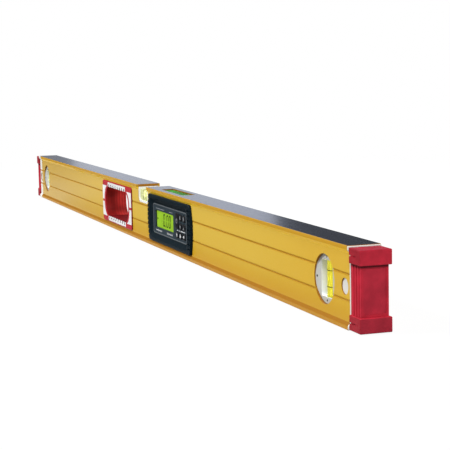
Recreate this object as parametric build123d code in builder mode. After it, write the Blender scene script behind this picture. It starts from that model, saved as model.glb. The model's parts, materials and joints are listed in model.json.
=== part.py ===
from build123d import *
import os

# Digital spirit level: a hollow extrusion with a hand grip, three vials and an electronic angle module.
# Millimetres. X runs along the level, the front looks along -Y and Z points up.
# The origin is the middle of the bottom measuring face.

os.makedirs("parts", exist_ok=True)

# Extruded profile
profile_length = 1176.0
height = 64.0
lip_width = 28.0
web_recess = 2.0
lip_height = 3.2
lip_slope = 2.6
lip_round = 0.5
web_wall = 2.2
flange_wall = 3.0
cavity_corner = 2.0
groove_spacing = 20.0
groove_depth = 0.7
fit = 0.2
side_proud = 2.6

# Hand grip
grip_x = -105.1
grip_width = 140.0
grip_margin = 6.5
grip_proud = 1.3
grip_corner = 4.0
grip_end_bar = 15.0
grip_bar = 7.0
grip_flat_end = 5.0
grip_sleeve_wall = 5.8
grip_sleeve_rise = 4.4
grip_sleeve_corner = 18.0
grip_edge_round = 0.9
inlay_margin = 1.0
inlay_end_margin = 6.0
inlay_strip_margin = 1.6
inlay_depth = 0.8
inlay_proud = 0.25
inlay_strip_length = 84.0
inlay_bracket_width = 26.0
inlay_bracket_over = 0.5
inlay_gap = 3.0
inlay_corner = 1.0
inlay_groove = 1.0
inlay_groove_pitch = 3.5
inlay_groove_depth = 0.5
pad_length = 84.0
pad_thickness = 3.4
pad_groove = 2.4
pad_pitch = 10.5

# Level vial in the top edge
notch_x = 13.5
notch_width = 41.0
notch_depth = 20.0
notch_corner = 7.0
liner_wall = 3.0
liner_floor = 2.0
liner_recess = 0.4
liner_corner = 5.0
socket_depth = 1.2
vial_depth = 19.8
vial_height = 12.2
vial_corner = 1.2
vial_bore = 4.3
vial_bore_end = 4.0
vial_clearance = 0.3
ring_offset = 5.8
ring_width = 0.6
ring_gap = 0.05
ring_thickness = 0.15
bubble_radius = 2.6
bubble_half = 5.2
bubble_clearance = 0.35

# Plumb vials near the ends
plumb_inset = 48.5
plumb_margin = 12.0
plumb_recess = 1.0
plumb_dish = 1.5
plumb_window_width = 23.0
plumb_window_margin = 5.2
plumb_window_corner = 2.5
plumb_vial_radius = 8.6
plumb_bore = 5.8
plumb_bore_end = 5.5
plumb_ring_offset = 6.5
plumb_bubble_radius = 3.8
plumb_pin_hole = 1.8
plumb_pin_depth = 3.0
plumb_pin_reach = 17.3
plumb_pin_count = 4

# End plugs, end caps and slip stoppers
plug_length = 26.0
plug_wall = 2.0
plug_corner = 1.0
plug_flange = 1.4
plug_flange_inset = 0.1
plug_flange_drop = 0.5
plug_flange_round = 0.5
snap_inset = 9.0
snap_hole = 13.0
snap_recess = 1.0
slit_width = 1.0
slit_length = 18.6
slit_margin = 1.6
slit_end = 0.4
cap_length = 20.8
cap_gap = 0.1
cap_width = 26.4
cap_mid_width = 23.0
cap_bottom = 0.3
cap_top_drop = 1.4
cap_block_height = 11.7
cap_panel_recess = 2.4
cap_field_border = 2.2
cap_field_corner = 1.5
cap_field_depth = 0.5
cap_round = 0.8
cap_flute_radius = 1.1
cap_flute_count = 3
cap_flute_pitch = 4.6
cap_flute_first = 6.2
cap_slit_length = 13.0
cap_slit_height = 1.2
cap_slit_depth = 1.2
tongue_length = 18.0
tongue_wall = 3.0
tongue_fit = 0.15
tongue_corner = 1.0
stopper_inset = 108.0
stopper_length = 56.0
stopper_width = 17.5
stopper_pocket = 1.8
stopper_sink = 0.1

# Electronic module, front
module_x = 120.0
module_margin = 6.0
module_bow = 5.0
module_corner = 4.0
module_edge_round = 1.3
module_window_end = 7.0
module_window_edge = 4.0
module_window_corner = 5.0
housing_wall = 1.8
housing_joint = 1.0
bezel_end = 11.5
bezel_edge = 3.7
scoop_run = 7.5
scoop_rise = 5.6
scoop_corner = 7.0
panel_width = 124.0
panel_corner = 3.0
panel_sink = 2.2
panel_thickness = 1.6
panel_rim = 1.2
panel_rim_height = 0.6
panel_rim_round = 0.4
ledge_thickness = 1.5
ledge_end = 3.0
ledge_edge = 2.1
rib_count = 9
rib_margin = 6.4
rib_length = 12.0
rib_groove = 1.3
rib_depth = 1.0
lcd_inset = 7.9
keypad_room = 49.1
lcd_edge = 7.5
lcd_border = 2.4
lcd_thickness = 3.1
lens_thickness = 0.6
lens_sink = 0.8

# Keypad: columns measured from the right edge of the panel, rows that share its height
key_insets = (34.0, 21.4, 9.4)
key_width = 8.8
key_share = 0.24
key_margin = 1.2
power_key_width = 10.2
power_key_lift = 0.5
key_corner = 1.7
key_crown = 0.7
key_proud = 0.9
key_travel = 0.8
key_clearance = 0.3
key_flange = 0.5
key_flange_thickness = 0.8
key_play = 0.2
dome_radius = 2.4
dome_top_radius = 1.5

# Electronics behind the panel
board_end = 4.0
board_edge = 3.0
board_thickness = 1.6
board_corner = 2.0
post_inset_x = 3.0
post_inset_z = 4.0
post_radius = 3.0
screw_radius = 1.25
screw_head_radius = 2.4
screw_head_height = 1.2
screw_clearance = 0.15
screw_recess = 1.3
screw_recess_width = 0.6
screw_recess_depth = 0.4
sensor_inset = 24.0
sensor_z = -4.0
sensor_width = 24.0
sensor_height = 16.0
sensor_thickness = 7.0
buzzer_inset = 46.0
buzzer_z = 10.0
buzzer_radius = 6.0
buzzer_thickness = 5.0
buzzer_port = 1.2
buzzer_port_depth = 1.0
chip_width = 12.0
chip_height = 8.0
chip_thickness = 1.2
chip_pitch = 16.0
sensor_corner = 2.5
sensor_round = 1.0

# Battery compartment and rear cover
rear_end = 3.0
rear_margin = 7.0
rear_corner = 6.0
cell_radius = 7.15
cell_length = 49.5
cell_nub_radius = 2.7
cell_nub_length = 1.0
cell_clearance = 0.15
cell_pitch = 15.2
cell_gap = 1.2
cover_post_gap = 5.0
tray_wall = 1.4
tray_floor = 1.0
contact_thickness = 0.5
contact_size = 8.0
contact_gap = 0.1
cover_width = 72.0
cover_edge = 6.5
cover_corner = 3.0
cover_thickness = 1.2
gasket_thickness = 0.4
cover_end_ledge = 5.0
cover_side_ledge = 3.0
cover_screw_inset = 2.4
cover_screw_length = 7.0
cover_screw_radius = 0.9
cover_screw_head = 1.7
cover_screw_head_height = 0.6
cover_boss_radius = 2.2
cover_groove_count = 7
cover_groove_pitch = 5.0
cover_groove_length = 20.0
cover_groove_width = 1.6
cover_groove_depth = 0.6

# Second display under the top edge
top_display_shift = -8.5
top_window_length = 80.0
top_window_width = 14.0
top_window_corner = 1.5
top_lens_sink = 0.5
top_lens_thickness = 0.8
top_lcd_inset = 0.5
top_lcd_thickness = 2.1
top_lcd_gap = 0.1
carrier_border = 0.8
carrier_fit = 0.1

# Worked out from the sizes above
half_length = profile_length / 2
mid = height / 2
web_half = lip_width / 2 - web_recess
cavity_width = 2 * (web_half - web_wall)
cavity_height = height - 2 * flange_wall
front_face = web_half + side_proud
grip_face = web_half + grip_proud
grip_height = height - 2 * grip_margin
grip_open_width = grip_width - 2 * grip_end_bar
grip_open_height = grip_height - 2 * grip_bar
grip_open_corner = (grip_open_height - grip_flat_end) / 2
inlay_bracket_height = grip_open_height + 2 * inlay_bracket_over
grip_sleeve_width = grip_open_width + 2 * grip_sleeve_wall
grip_sleeve_height = grip_open_height + 2 * grip_sleeve_rise
strip_height = (grip_height - grip_open_height) / 2 - inlay_strip_margin
strip_z = (grip_open_height + strip_height) / 2
pad_groove_count = round(pad_length / pad_pitch)
vial_floor = height - notch_depth + fit + liner_floor
vial_z = vial_floor + vial_clearance + vial_height / 2
plumb_hole = height - 2 * plumb_margin
plumb_window_height = plumb_hole - 2 * plumb_window_margin
plumb_half = web_half - plumb_recess
plumb_x = half_length - plumb_inset
cap_top = height - cap_top_drop
snap_x = half_length - snap_inset
stopper_x = half_length - stopper_inset
panel_face = front_face - panel_sink
panel_back = panel_face - panel_thickness
ledge_back = panel_back - ledge_thickness
board_front = panel_back - lcd_thickness
board_back = board_front - board_thickness
scoop_width = panel_width + 2 * scoop_run
module_width = scoop_width + 2 * bezel_end
module_height = height - 2 * module_margin
scoop_height = module_height - 2 * bezel_edge
panel_height = scoop_height - 2 * scoop_rise
ledge_width = panel_width - 2 * ledge_end
ledge_height = panel_height - 2 * ledge_edge
module_window_width = module_width - 2 * module_window_end
module_window_height = module_height - 2 * module_window_edge
rib_pitch = (module_height - 2 * rib_margin) / (rib_count - 1)
lcd_view_width = panel_width - lcd_inset - keypad_room
lcd_view_height = panel_height - 2 * lcd_edge
lcd_offset = lcd_inset + (lcd_view_width - panel_width) / 2
key_height = key_share * ledge_height
key_pitch = (ledge_height - key_height) / 2 - key_flange - key_margin
key_rows = (key_pitch, 0.0, -key_pitch)
key_columns = [panel_width / 2 - inset for inset in key_insets]
power_key_height = key_pitch + key_height
sensor_x = panel_width / 2 - sensor_inset
buzzer_x = panel_width / 2 - buzzer_inset
board_width = module_window_width - 2 * board_end
board_height = module_window_height - 2 * board_edge
post_x = board_width / 2 - post_inset_x
post_z = board_height / 2 - post_inset_z
rear_width = module_width - 2 * rear_end
rear_height = height - 2 * rear_margin
cover_height = rear_height - 2 * cover_edge
tray_x = cover_width / 2 + cover_post_gap - post_x
top_display_x = module_x + top_display_shift
skirt_width = module_window_width - 2 * fit
skirt_height = module_window_height - 2 * fit
inner_width = skirt_width - 2 * housing_wall
inner_height = skirt_height - 2 * housing_wall
inner_corner = module_window_corner - housing_wall


def section_outline(inset=0.0, drop=0.0):
    """The profile's outline: two webs between two lips, drawn in at the sides and at the top and bottom."""
    web = web_half - inset
    lip = lip_width / 2 - inset
    with BuildSketch() as outline:
        with Locations((0, mid)):
            Rectangle(2 * web, height - 2 * drop)
        for edge, inward in ((height, -1), (0, 1)):
            outer = edge + inward * drop
            lip_end = edge + inward * lip_height
            slope_end = lip_end + inward * lip_slope
            with BuildLine():
                Polyline((-lip, outer), (lip, outer), (lip, lip_end), (web, slope_end),
                         (-web, slope_end), (-lip, lip_end), close=True)
            make_face()
        fillet(outline.vertices().group_by(Axis.X)[0] + outline.vertices().group_by(Axis.X)[-1], lip_round)
    return outline.sketch


def bowed_outline(width, tall, bow, corner):
    """A rectangle whose two short ends bulge outwards by the bow, with rounded corners."""
    flat = width / 2 - bow
    with BuildSketch() as outline:
        with BuildLine():
            Line((-flat, tall / 2), (flat, tall / 2))
            ThreePointArc((flat, tall / 2), (width / 2, 0), (flat, -tall / 2))
            Line((flat, -tall / 2), (-flat, -tall / 2))
            ThreePointArc((-flat, -tall / 2), (-width / 2, 0), (-flat, tall / 2))
        make_face()
        fillet(outline.vertices(), corner)
    return outline.sketch


def inlay_outline(grow):
    """The six pale inlays of one grip face: two straight strips and four curved brackets."""
    bracket_x = grip_width / 2 - inlay_margin - inlay_bracket_width / 2
    bracket_z = (inlay_bracket_height + inlay_gap) / 4
    bracket_tall = (inlay_bracket_height - inlay_gap) / 2
    with BuildSketch() as outline:
        with Locations((-bracket_x, bracket_z), (bracket_x, bracket_z),
                       (-bracket_x, -bracket_z), (bracket_x, -bracket_z)):
            Rectangle(inlay_bracket_width + 2 * grow, bracket_tall + 2 * grow)
        RectangleRounded(grip_open_width + 2 * (inlay_end_margin - grow),
                         grip_open_height + 2 * (inlay_margin - grow),
                         grip_open_corner + inlay_margin - grow, mode=Mode.SUBTRACT)
        with Locations((0, strip_z), (0, -strip_z)):
            RectangleRounded(inlay_strip_length + 2 * grow, strip_height + 2 * grow, inlay_corner)
    return outline.sketch


def key_outline(key_x, key_z, width, tall, grow=0.0):
    """The outline of one key at its place on the panel, grown where a hole or a flange is wanted."""
    with Locations((module_x + key_x, mid + key_z)):
        RectangleRounded(width + 2 * grow, tall + 2 * grow, key_corner)


# Profile: webs between two lips, grooves along the webs, and every opening cut through it
with BuildPart() as profile:
    with BuildSketch(Plane.YZ.offset(-half_length)):
        add(section_outline())
        with Locations((0, mid)):
            with GridLocations(2 * web_half, groove_spacing, 2, 2):
                Rectangle(groove_depth * 2**0.5, groove_depth * 2**0.5, rotation=45, mode=Mode.SUBTRACT)
            RectangleRounded(cavity_width, cavity_height, cavity_corner, mode=Mode.SUBTRACT)
    extrude(amount=profile_length)
    with BuildSketch(Plane.XZ):
        with Locations((grip_x, mid)):
            RectangleRounded(grip_sleeve_width + 2 * fit, grip_sleeve_height + 2 * fit, grip_sleeve_corner)
        with Locations((module_x, mid)):
            RectangleRounded(module_window_width, module_window_height, module_window_corner)
        with Locations((-plumb_x, mid), (plumb_x, mid)):
            Circle(plumb_hole / 2)
        with Locations((-snap_x, mid), (snap_x, mid)):
            Circle(snap_hole / 2)
        with Locations((notch_x, height - notch_depth / 2 + notch_corner)):
            RectangleRounded(notch_width, notch_depth + 2 * notch_corner, notch_corner)
    extrude(amount=lip_width, both=True, mode=Mode.SUBTRACT)
    with BuildSketch(Plane.XY.offset(height)):
        with Locations((top_display_x, 0)):
            RectangleRounded(top_window_length, top_window_width, top_window_corner)
    extrude(amount=-flange_wall, mode=Mode.SUBTRACT)
    with BuildSketch(Plane.XY):
        with Locations((-stopper_x, 0), (stopper_x, 0)):
            SlotOverall(stopper_length, stopper_width)
    extrude(amount=stopper_pocket, mode=Mode.SUBTRACT)
profile.part.label = "profile"
export_step(profile.part, "parts/profile.step")


# End plug: a socket in the profile's end with a pale flange, held by two snap discs on slit tongues
def make_end_plug(side, name):
    with BuildPart() as plug:
        with BuildSketch(Plane.YZ.offset(side * (half_length - plug_length))):
            with Locations((0, mid)):
                RectangleRounded(cavity_width - 2 * fit, cavity_height - 2 * fit, cavity_corner)
        extrude(amount=side * plug_length)
        with BuildSketch(Plane.YZ.offset(side * half_length)):
            add(section_outline(plug_flange_inset, plug_flange_drop))
        extrude(amount=side * plug_flange)
        flange_face = plug.faces().sort_by(Axis.X)[-1 if side > 0 else 0]
        fillet(flange_face.edges(), plug_flange_round)
        with BuildSketch(Plane.YZ.offset(side * (half_length - plug_length + plug_wall))):
            with Locations((0, mid)):
                RectangleRounded(cavity_width - 2 * (fit + plug_wall),
                                 cavity_height - 2 * (fit + plug_wall), plug_corner)
        extrude(amount=side * (plug_length + plug_flange), mode=Mode.SUBTRACT)
        disc_root = cavity_width / 2 - fit - plug_wall
        for face in (1, -1):
            with BuildSketch(Plane.XZ.offset(face * disc_root)):
                with Locations((side * snap_x, mid)):
                    Circle(snap_hole / 2 - fit)
            extrude(amount=face * (web_half - snap_recess - disc_root))
        with BuildSketch(Plane.XZ):
            with Locations((side * (half_length - slit_end - slit_length / 2), mid)):
                with GridLocations(0, snap_hole + 2 * slit_margin, 1, 2):
                    Rectangle(slit_length, slit_width)
            with Locations((side * (half_length - slit_end - slit_width / 2), mid)):
                Rectangle(slit_width, snap_hole + 2 * slit_margin)
        extrude(amount=lip_width, both=True, mode=Mode.SUBTRACT)
    plug.part.label = name
    export_step(plug.part, f"parts/{name}.step")


# End cap: rubber, with a thick block at the top and bottom, a fluted waist and a tongue in the plug
def make_end_cap(side, name):
    setback = plug_flange + cap_gap
    start = side * (half_length + setback)
    cap_height = cap_top - cap_bottom
    cap_mid = (cap_top + cap_bottom) / 2
    block_z = (cap_height - cap_block_height) / 2
    waist_height = cap_height - 2 * cap_block_height
    with BuildPart() as cap:
        with BuildSketch(Plane.YZ.offset(start)):
            with Locations((0, cap_mid)):
                Rectangle(cap_mid_width, cap_height - cap_block_height)
        extrude(amount=side * (cap_length - setback - cap_panel_recess))
        waist_end = cap.faces().sort_by(Axis.X)[-1 if side > 0 else 0]
        fillet(waist_end.edges().filter_by(Axis.Z), cap_round)
        with BuildSketch(Plane.YZ.offset(side * (half_length + cap_length - cap_panel_recess))):
            with Locations((0, cap_mid)):
                RectangleRounded(cap_mid_width - 2 * cap_field_border, waist_height - 2 * cap_field_border,
                                 cap_field_corner)
        extrude(amount=-side * cap_field_depth, mode=Mode.SUBTRACT)
        first = half_length + cap_flute_first
        flutes = [side * (first + i * cap_flute_pitch) for i in range(cap_flute_count)]
        with Locations([(x, y, cap_mid) for x in flutes for y in (-cap_mid_width / 2, cap_mid_width / 2)]):
            Cylinder(cap_flute_radius, waist_height)
        with BuildSketch(Plane.YZ.offset(start)):
            with Locations((0, cap_mid + block_z), (0, cap_mid - block_z)):
                RectangleRounded(cap_width, cap_block_height, cap_round)
        extrude(amount=side * (cap_length - setback))
        outer = cap.faces().group_by(Axis.X)[-1 if side > 0 else 0]
        fillet(outer.edges(), cap_round)
        slit_x = side * (half_length + cap_slit_length / 2)
        slit_sides = [(y, z) for y in (-cap_width / 2, cap_width / 2) for z in (-block_z, block_z)]
        with Locations([(slit_x, y, cap_mid + z) for y, z in slit_sides]):
            Box(cap_slit_length, 2 * cap_slit_depth, cap_slit_height, mode=Mode.SUBTRACT)
        socket_width = cavity_width - 2 * (fit + plug_wall + tongue_fit)
        socket_height = cavity_height - 2 * (fit + plug_wall + tongue_fit)
        with BuildSketch(Plane.YZ.offset(start)):
            with Locations((0, mid)):
                RectangleRounded(socket_width, socket_height, tongue_corner)
                RectangleRounded(socket_width - 2 * tongue_wall, socket_height - 2 * tongue_wall,
                                 tongue_corner, mode=Mode.SUBTRACT)
        extrude(amount=-side * (tongue_length + setback))
    cap.part.label = name
    export_step(cap.part, f"parts/{name}.step")


# Slip stopper: a rubber oblong glued in a pocket of the bottom measuring face
def make_slip_stopper(side, name):
    with BuildPart() as stopper:
        with BuildSketch(Plane.XY.offset(stopper_sink)):
            with Locations((side * stopper_x, 0)):
                SlotOverall(stopper_length - 2 * fit, stopper_width - 2 * fit)
        extrude(amount=stopper_pocket - stopper_sink)
    stopper.part.label = name
    export_step(stopper.part, f"parts/{name}.step")


for side, hand in ((-1, "left"), (1, "right")):
    make_end_plug(side, f"end_plug_{hand}")
    make_end_cap(side, f"end_cap_{hand}")
    make_slip_stopper(side, f"slip_stopper_{hand}")


# Hand grip: two moulded shells that meet in the middle of the profile and line the opening
def make_grip_shell(face, name):
    pad_top = grip_open_height / 2 + pad_thickness
    with BuildPart() as shell:
        with BuildSketch(Plane.XZ.offset(face * web_half)):
            with Locations((grip_x, mid)):
                RectangleRounded(grip_width, grip_height, grip_corner)
        extrude(amount=face * grip_proud)
        front = shell.faces().sort_by(Axis.Y)[0 if face > 0 else -1]
        fillet(front.edges(), grip_edge_round)
        with BuildSketch(Plane.XZ):
            with Locations((grip_x, mid)):
                RectangleRounded(grip_sleeve_width, grip_sleeve_height, grip_sleeve_corner)
        extrude(amount=face * web_half)
        with BuildSketch(Plane.XZ):
            with Locations((grip_x, mid)):
                RectangleRounded(grip_open_width, grip_open_height, grip_open_corner)
        extrude(amount=face * grip_face, mode=Mode.SUBTRACT)
        with BuildSketch(Plane.XZ):
            with Locations((grip_x, mid)):
                Rectangle(pad_length + 2 * fit, 2 * pad_top)
        extrude(amount=face * (grip_face - inlay_depth), mode=Mode.SUBTRACT)
        with BuildSketch(Plane.XZ.offset(face * grip_face)):
            with Locations((grip_x, mid)):
                add(inlay_outline(fit))
        extrude(amount=-face * inlay_depth, mode=Mode.SUBTRACT)
    shell.part.label = name
    export_step(shell.part, f"parts/{name}.step")


# Grip inlays: six pale pieces in the pockets of one shell, the two strips ribbed and notched like the pads
def make_grip_inlays(face, name):
    groove_count = round(inlay_strip_length / inlay_groove_pitch)
    with BuildPart() as inlays:
        with BuildSketch(Plane.XZ.offset(face * (grip_face - inlay_depth))):
            with Locations((grip_x, mid)):
                add(inlay_outline(0))
                with GridLocations(pad_pitch, grip_open_height, pad_groove_count, 2):
                    Circle(pad_groove, mode=Mode.SUBTRACT)
        extrude(amount=face * (inlay_depth + inlay_proud))
        with BuildSketch(Plane.XZ.offset(face * (grip_face + inlay_proud))):
            with Locations((grip_x, mid)):
                with GridLocations(inlay_groove_pitch, 2 * strip_z, groove_count, 2):
                    Rectangle(inlay_groove, strip_height + 2 * fit)
        extrude(amount=-face * inlay_groove_depth, mode=Mode.SUBTRACT)
    inlays.part.label = name
    export_step(inlays.part, f"parts/{name}.step")


# Grip pad: a fluted rubber strip let into the top or the bottom of the opening
def make_grip_pad(up, name):
    surface = mid + up * grip_open_height / 2
    with BuildPart() as pad:
        with BuildSketch(Plane.XZ):
            with Locations((grip_x, surface + up * pad_thickness / 2)):
                Rectangle(pad_length, pad_thickness)
            with Locations((grip_x, surface)):
                with GridLocations(pad_pitch, 0, pad_groove_count, 1):
                    Circle(pad_groove, mode=Mode.SUBTRACT)
        extrude(amount=grip_face - inlay_depth - fit, both=True)
    pad.part.label = name
    export_step(pad.part, f"parts/{name}.step")


for face, hand in ((1, "front"), (-1, "rear")):
    make_grip_shell(face, f"grip_shell_{hand}")
    make_grip_inlays(face, f"grip_inlays_{hand}")
make_grip_pad(1, "grip_pad_upper")
make_grip_pad(-1, "grip_pad_lower")


# Vials: a clear body with a barrel-shaped bore, two marking rings and a bubble that runs along it
def vial_section(centre, along, across):
    """The plane of a vial's lengthwise section: its x runs across the vial and its y along it."""
    return Plane(origin=centre, x_dir=across, z_dir=across.cross(along))


def bore_outline(length, bore, bore_end):
    """Half of a bore's lengthwise section, widest in the middle."""
    with BuildSketch() as outline:
        with BuildLine():
            Polyline((bore_end, -length / 2), (0, -length / 2), (0, length / 2), (bore_end, length / 2))
            ThreePointArc((bore_end, length / 2), (bore, 0), (bore_end, -length / 2))
        make_face()
    return outline.sketch


def make_bubble(centre, along, across, radius, name):
    with BuildPart() as bubble:
        with BuildSketch(vial_section(centre, along, across)):
            Ellipse(radius, bubble_half)
            with Locations((-radius, 0)):
                Rectangle(2 * radius, 2 * bubble_half, mode=Mode.SUBTRACT)
        revolve(axis=Axis(centre, along))
    bubble.part.label = name
    export_step(bubble.part, f"parts/{name}.step")


def block_outline(grow=0.0):
    """The cross-section of the level vial's block, grown where a socket or a ring goes round it."""
    with BuildSketch() as outline:
        with Locations((0, vial_z)):
            RectangleRounded(vial_depth + 2 * grow, vial_height + 2 * grow, vial_corner + grow)
    return outline.sketch


along_x = Vector(1, 0, 0)
along_z = Vector(0, 0, 1)
across_y = Vector(0, 1, 0)
liner_width = notch_width - 2 * fit
liner_inner = liner_width - 2 * liner_wall
vial_length = liner_inner + 2 * socket_depth

# Level vial holder: a pale U-shaped liner in the notch, with a socket for each end of the vial
with BuildPart() as level_vial_holder:
    with BuildSketch(Plane.XZ):
        with Locations((notch_x, height - notch_depth / 2 + notch_corner)):
            RectangleRounded(liner_width, notch_depth + 2 * (notch_corner - fit), notch_corner - fit)
        with Locations((notch_x, vial_floor + notch_depth / 2 + liner_corner)):
            RectangleRounded(liner_inner, notch_depth + 2 * liner_corner, liner_corner, mode=Mode.SUBTRACT)
        with Locations((notch_x, height - flange_wall + notch_depth)):
            Rectangle(notch_width, 2 * notch_depth, mode=Mode.SUBTRACT)
    extrude(amount=web_half - liner_recess, both=True)
    with BuildSketch(Plane.YZ.offset(notch_x - vial_length / 2)):
        add(block_outline(ring_gap))
    extrude(amount=vial_length, mode=Mode.SUBTRACT)
level_vial_holder.part.label = "level_vial_holder"
export_step(level_vial_holder.part, "parts/level_vial_holder.step")

level_centre = Vector(notch_x, 0, vial_z)
level_bubble_centre = level_centre + along_z * (vial_bore_end - bubble_radius - bubble_clearance)
make_bubble(level_bubble_centre, along_x, across_y, bubble_radius, "level_bubble")

# Level vial: a clear block with the bore along it, and a marking ring round it on each side of the middle
with BuildPart() as level_vial:
    with BuildSketch(Plane.YZ.offset(notch_x - vial_length / 2)):
        add(block_outline())
    extrude(amount=vial_length)
    with BuildSketch(vial_section(level_centre, along_x, across_y)):
        add(bore_outline(vial_length, vial_bore, vial_bore_end))
    revolve(axis=Axis(level_centre, along_x), mode=Mode.SUBTRACT)
level_vial.part.label = "level_vial"
export_step(level_vial.part, "parts/level_vial.step")

with BuildPart() as level_vial_rings:
    for offset in (-ring_offset, ring_offset):
        with BuildSketch(Plane.YZ.offset(notch_x + offset - ring_width / 2)):
            add(block_outline(ring_gap + ring_thickness))
            add(block_outline(ring_gap), mode=Mode.SUBTRACT)
        extrude(amount=ring_width)
level_vial_rings.part.label = "level_vial_rings"
export_step(level_vial_rings.part, "parts/level_vial_rings.step")


# Plumb vial holder: a pale round block through the profile, dished to a window for the upright vial
def make_plumb_holder(side, name):
    centre = side * plumb_x
    left, right = centre - plumb_hole / 2, centre + plumb_hole / 2
    near, far = centre - plumb_window_width / 2, centre + plumb_window_width / 2
    floor = plumb_half - plumb_dish
    with BuildPart() as holder:
        with BuildSketch(Plane.XY.offset(mid)):
            with BuildLine():
                Polyline((left, -plumb_half), (near, -floor), (far, -floor), (right, -plumb_half),
                         (right, plumb_half), (far, floor), (near, floor), (left, plumb_half), close=True)
            make_face()
        extrude(amount=plumb_hole / 2, both=True)
        with BuildSketch(Plane.XZ):
            with Locations((centre, mid)):
                Circle(plumb_hole / 2 - fit)
        extrude(amount=plumb_half, both=True, mode=Mode.INTERSECT)
        with BuildSketch(Plane.XZ):
            with Locations((centre, mid)):
                RectangleRounded(plumb_window_width, plumb_window_height, plumb_window_corner)
        extrude(amount=plumb_half, both=True, mode=Mode.SUBTRACT)
        for face in (1, -1):
            with BuildSketch(Plane.XZ.offset(face * plumb_half)):
                with Locations((centre, mid)):
                    with PolarLocations(plumb_pin_reach, plumb_pin_count):
                        Circle(plumb_pin_hole / 2)
            extrude(amount=-face * plumb_pin_depth, mode=Mode.SUBTRACT)
    holder.part.label = name
    export_step(holder.part, f"parts/{name}.step")


# Plumb vial: an upright clear tube with a ring above and below its middle
def make_plumb_vial(centre, hand):
    with BuildPart() as vial:
        with BuildSketch(Plane.XY.offset(centre.Z - plumb_window_height / 2)):
            with Locations((centre.X, centre.Y)):
                Circle(plumb_vial_radius)
        extrude(amount=plumb_window_height)
        with BuildSketch(vial_section(centre, along_z, across_y)):
            add(bore_outline(plumb_window_height, plumb_bore, plumb_bore_end))
        revolve(axis=Axis(centre, along_z), mode=Mode.SUBTRACT)
    vial.part.label = f"plumb_vial_{hand}"
    export_step(vial.part, f"parts/plumb_vial_{hand}.step")
    with BuildPart() as rings:
        for offset in (-plumb_ring_offset, plumb_ring_offset):
            with BuildSketch(Plane.XY.offset(centre.Z + offset - ring_width / 2)):
                with Locations((centre.X, centre.Y)):
                    Circle(plumb_vial_radius + ring_gap + ring_thickness)
                    Circle(plumb_vial_radius + ring_gap, mode=Mode.SUBTRACT)
            extrude(amount=ring_width)
    rings.part.label = f"plumb_vial_rings_{hand}"
    export_step(rings.part, f"parts/plumb_vial_rings_{hand}.step")


for side, hand in ((-1, "left"), (1, "right")):
    plumb_centre = Vector(side * plumb_x, 0, mid)
    bubble_rise = plumb_window_height / 2 - bubble_half - bubble_clearance
    make_plumb_holder(side, f"plumb_vial_holder_{hand}")
    bubble_centre = plumb_centre + along_z * bubble_rise
    make_plumb_vial(plumb_centre, hand)
    make_bubble(bubble_centre, along_z, across_y, plumb_bubble_radius, f"plumb_bubble_{hand}")

# Screw places of the module, which clamp the two housings and the board together
module_screws = [(module_x + x, mid + z) for x in (-post_x, post_x) for z in (-post_z, post_z)]

# Module housing: the moulded front bezel with ribbed ends, a scooped frame, a ledge and a skirt
with BuildPart() as module_housing:
    with BuildSketch(Plane.XZ.offset(web_half)):
        with Locations((module_x, mid)):
            add(bowed_outline(module_width, module_height, module_bow, module_corner))
    extrude(amount=side_proud)
    bezel_front = module_housing.faces().sort_by(Axis.Y)[0]
    fillet(bezel_front.edges(), module_edge_round)
    with BuildSketch(Plane.XZ.offset(front_face)):
        with Locations((module_x, mid)):
            RectangleRounded(scoop_width, scoop_height, scoop_corner)
    with BuildSketch(Plane.XZ.offset(panel_face)):
        with Locations((module_x, mid)):
            RectangleRounded(panel_width, panel_height, panel_corner)
    loft(mode=Mode.SUBTRACT)
    rib_x = (module_width - rib_length) / 2
    with Locations((module_x, -front_face, mid)):
        with GridLocations(2 * rib_x, 0, 2, 1):
            with Locations([(0, 0, (i - (rib_count - 1) / 2) * rib_pitch) for i in range(rib_count)]):
                Box(rib_length, 2 * rib_depth, rib_groove, mode=Mode.SUBTRACT)
    with BuildSketch(Plane.XZ.offset(web_half)):
        with Locations((module_x, mid)):
            RectangleRounded(skirt_width, skirt_height, module_window_corner)
    extrude(amount=ledge_back - web_half)
    with BuildSketch(Plane.XZ.offset(ledge_back)):
        with Locations((module_x, mid)):
            RectangleRounded(skirt_width, skirt_height, module_window_corner)
            RectangleRounded(inner_width, inner_height, inner_corner, mode=Mode.SUBTRACT)
        with Locations(*module_screws):
            Circle(post_radius)
    extrude(amount=board_front - ledge_back)
    with BuildSketch(Plane.XZ.offset(board_front)):
        with Locations((module_x, mid)):
            RectangleRounded(skirt_width, skirt_height, module_window_corner)
            RectangleRounded(inner_width, inner_height, inner_corner, mode=Mode.SUBTRACT)
    extrude(amount=housing_joint - board_front)
    with BuildSketch(Plane.XZ.offset(panel_face)):
        with Locations((module_x, mid)):
            RectangleRounded(panel_width, panel_height, panel_corner)
    extrude(amount=-panel_thickness, mode=Mode.SUBTRACT)
    with BuildSketch(Plane.XZ.offset(panel_back)):
        with Locations((module_x, mid)):
            RectangleRounded(ledge_width, ledge_height, panel_corner)
    extrude(amount=-ledge_thickness, mode=Mode.SUBTRACT)
    with BuildSketch(Plane.XZ.offset(board_front)):
        with Locations(*module_screws):
            Circle(screw_radius + screw_clearance)
    extrude(amount=panel_back - board_front, mode=Mode.SUBTRACT)
module_housing.part.label = "module_housing"
export_step(module_housing.part, "parts/module_housing.step")

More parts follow.
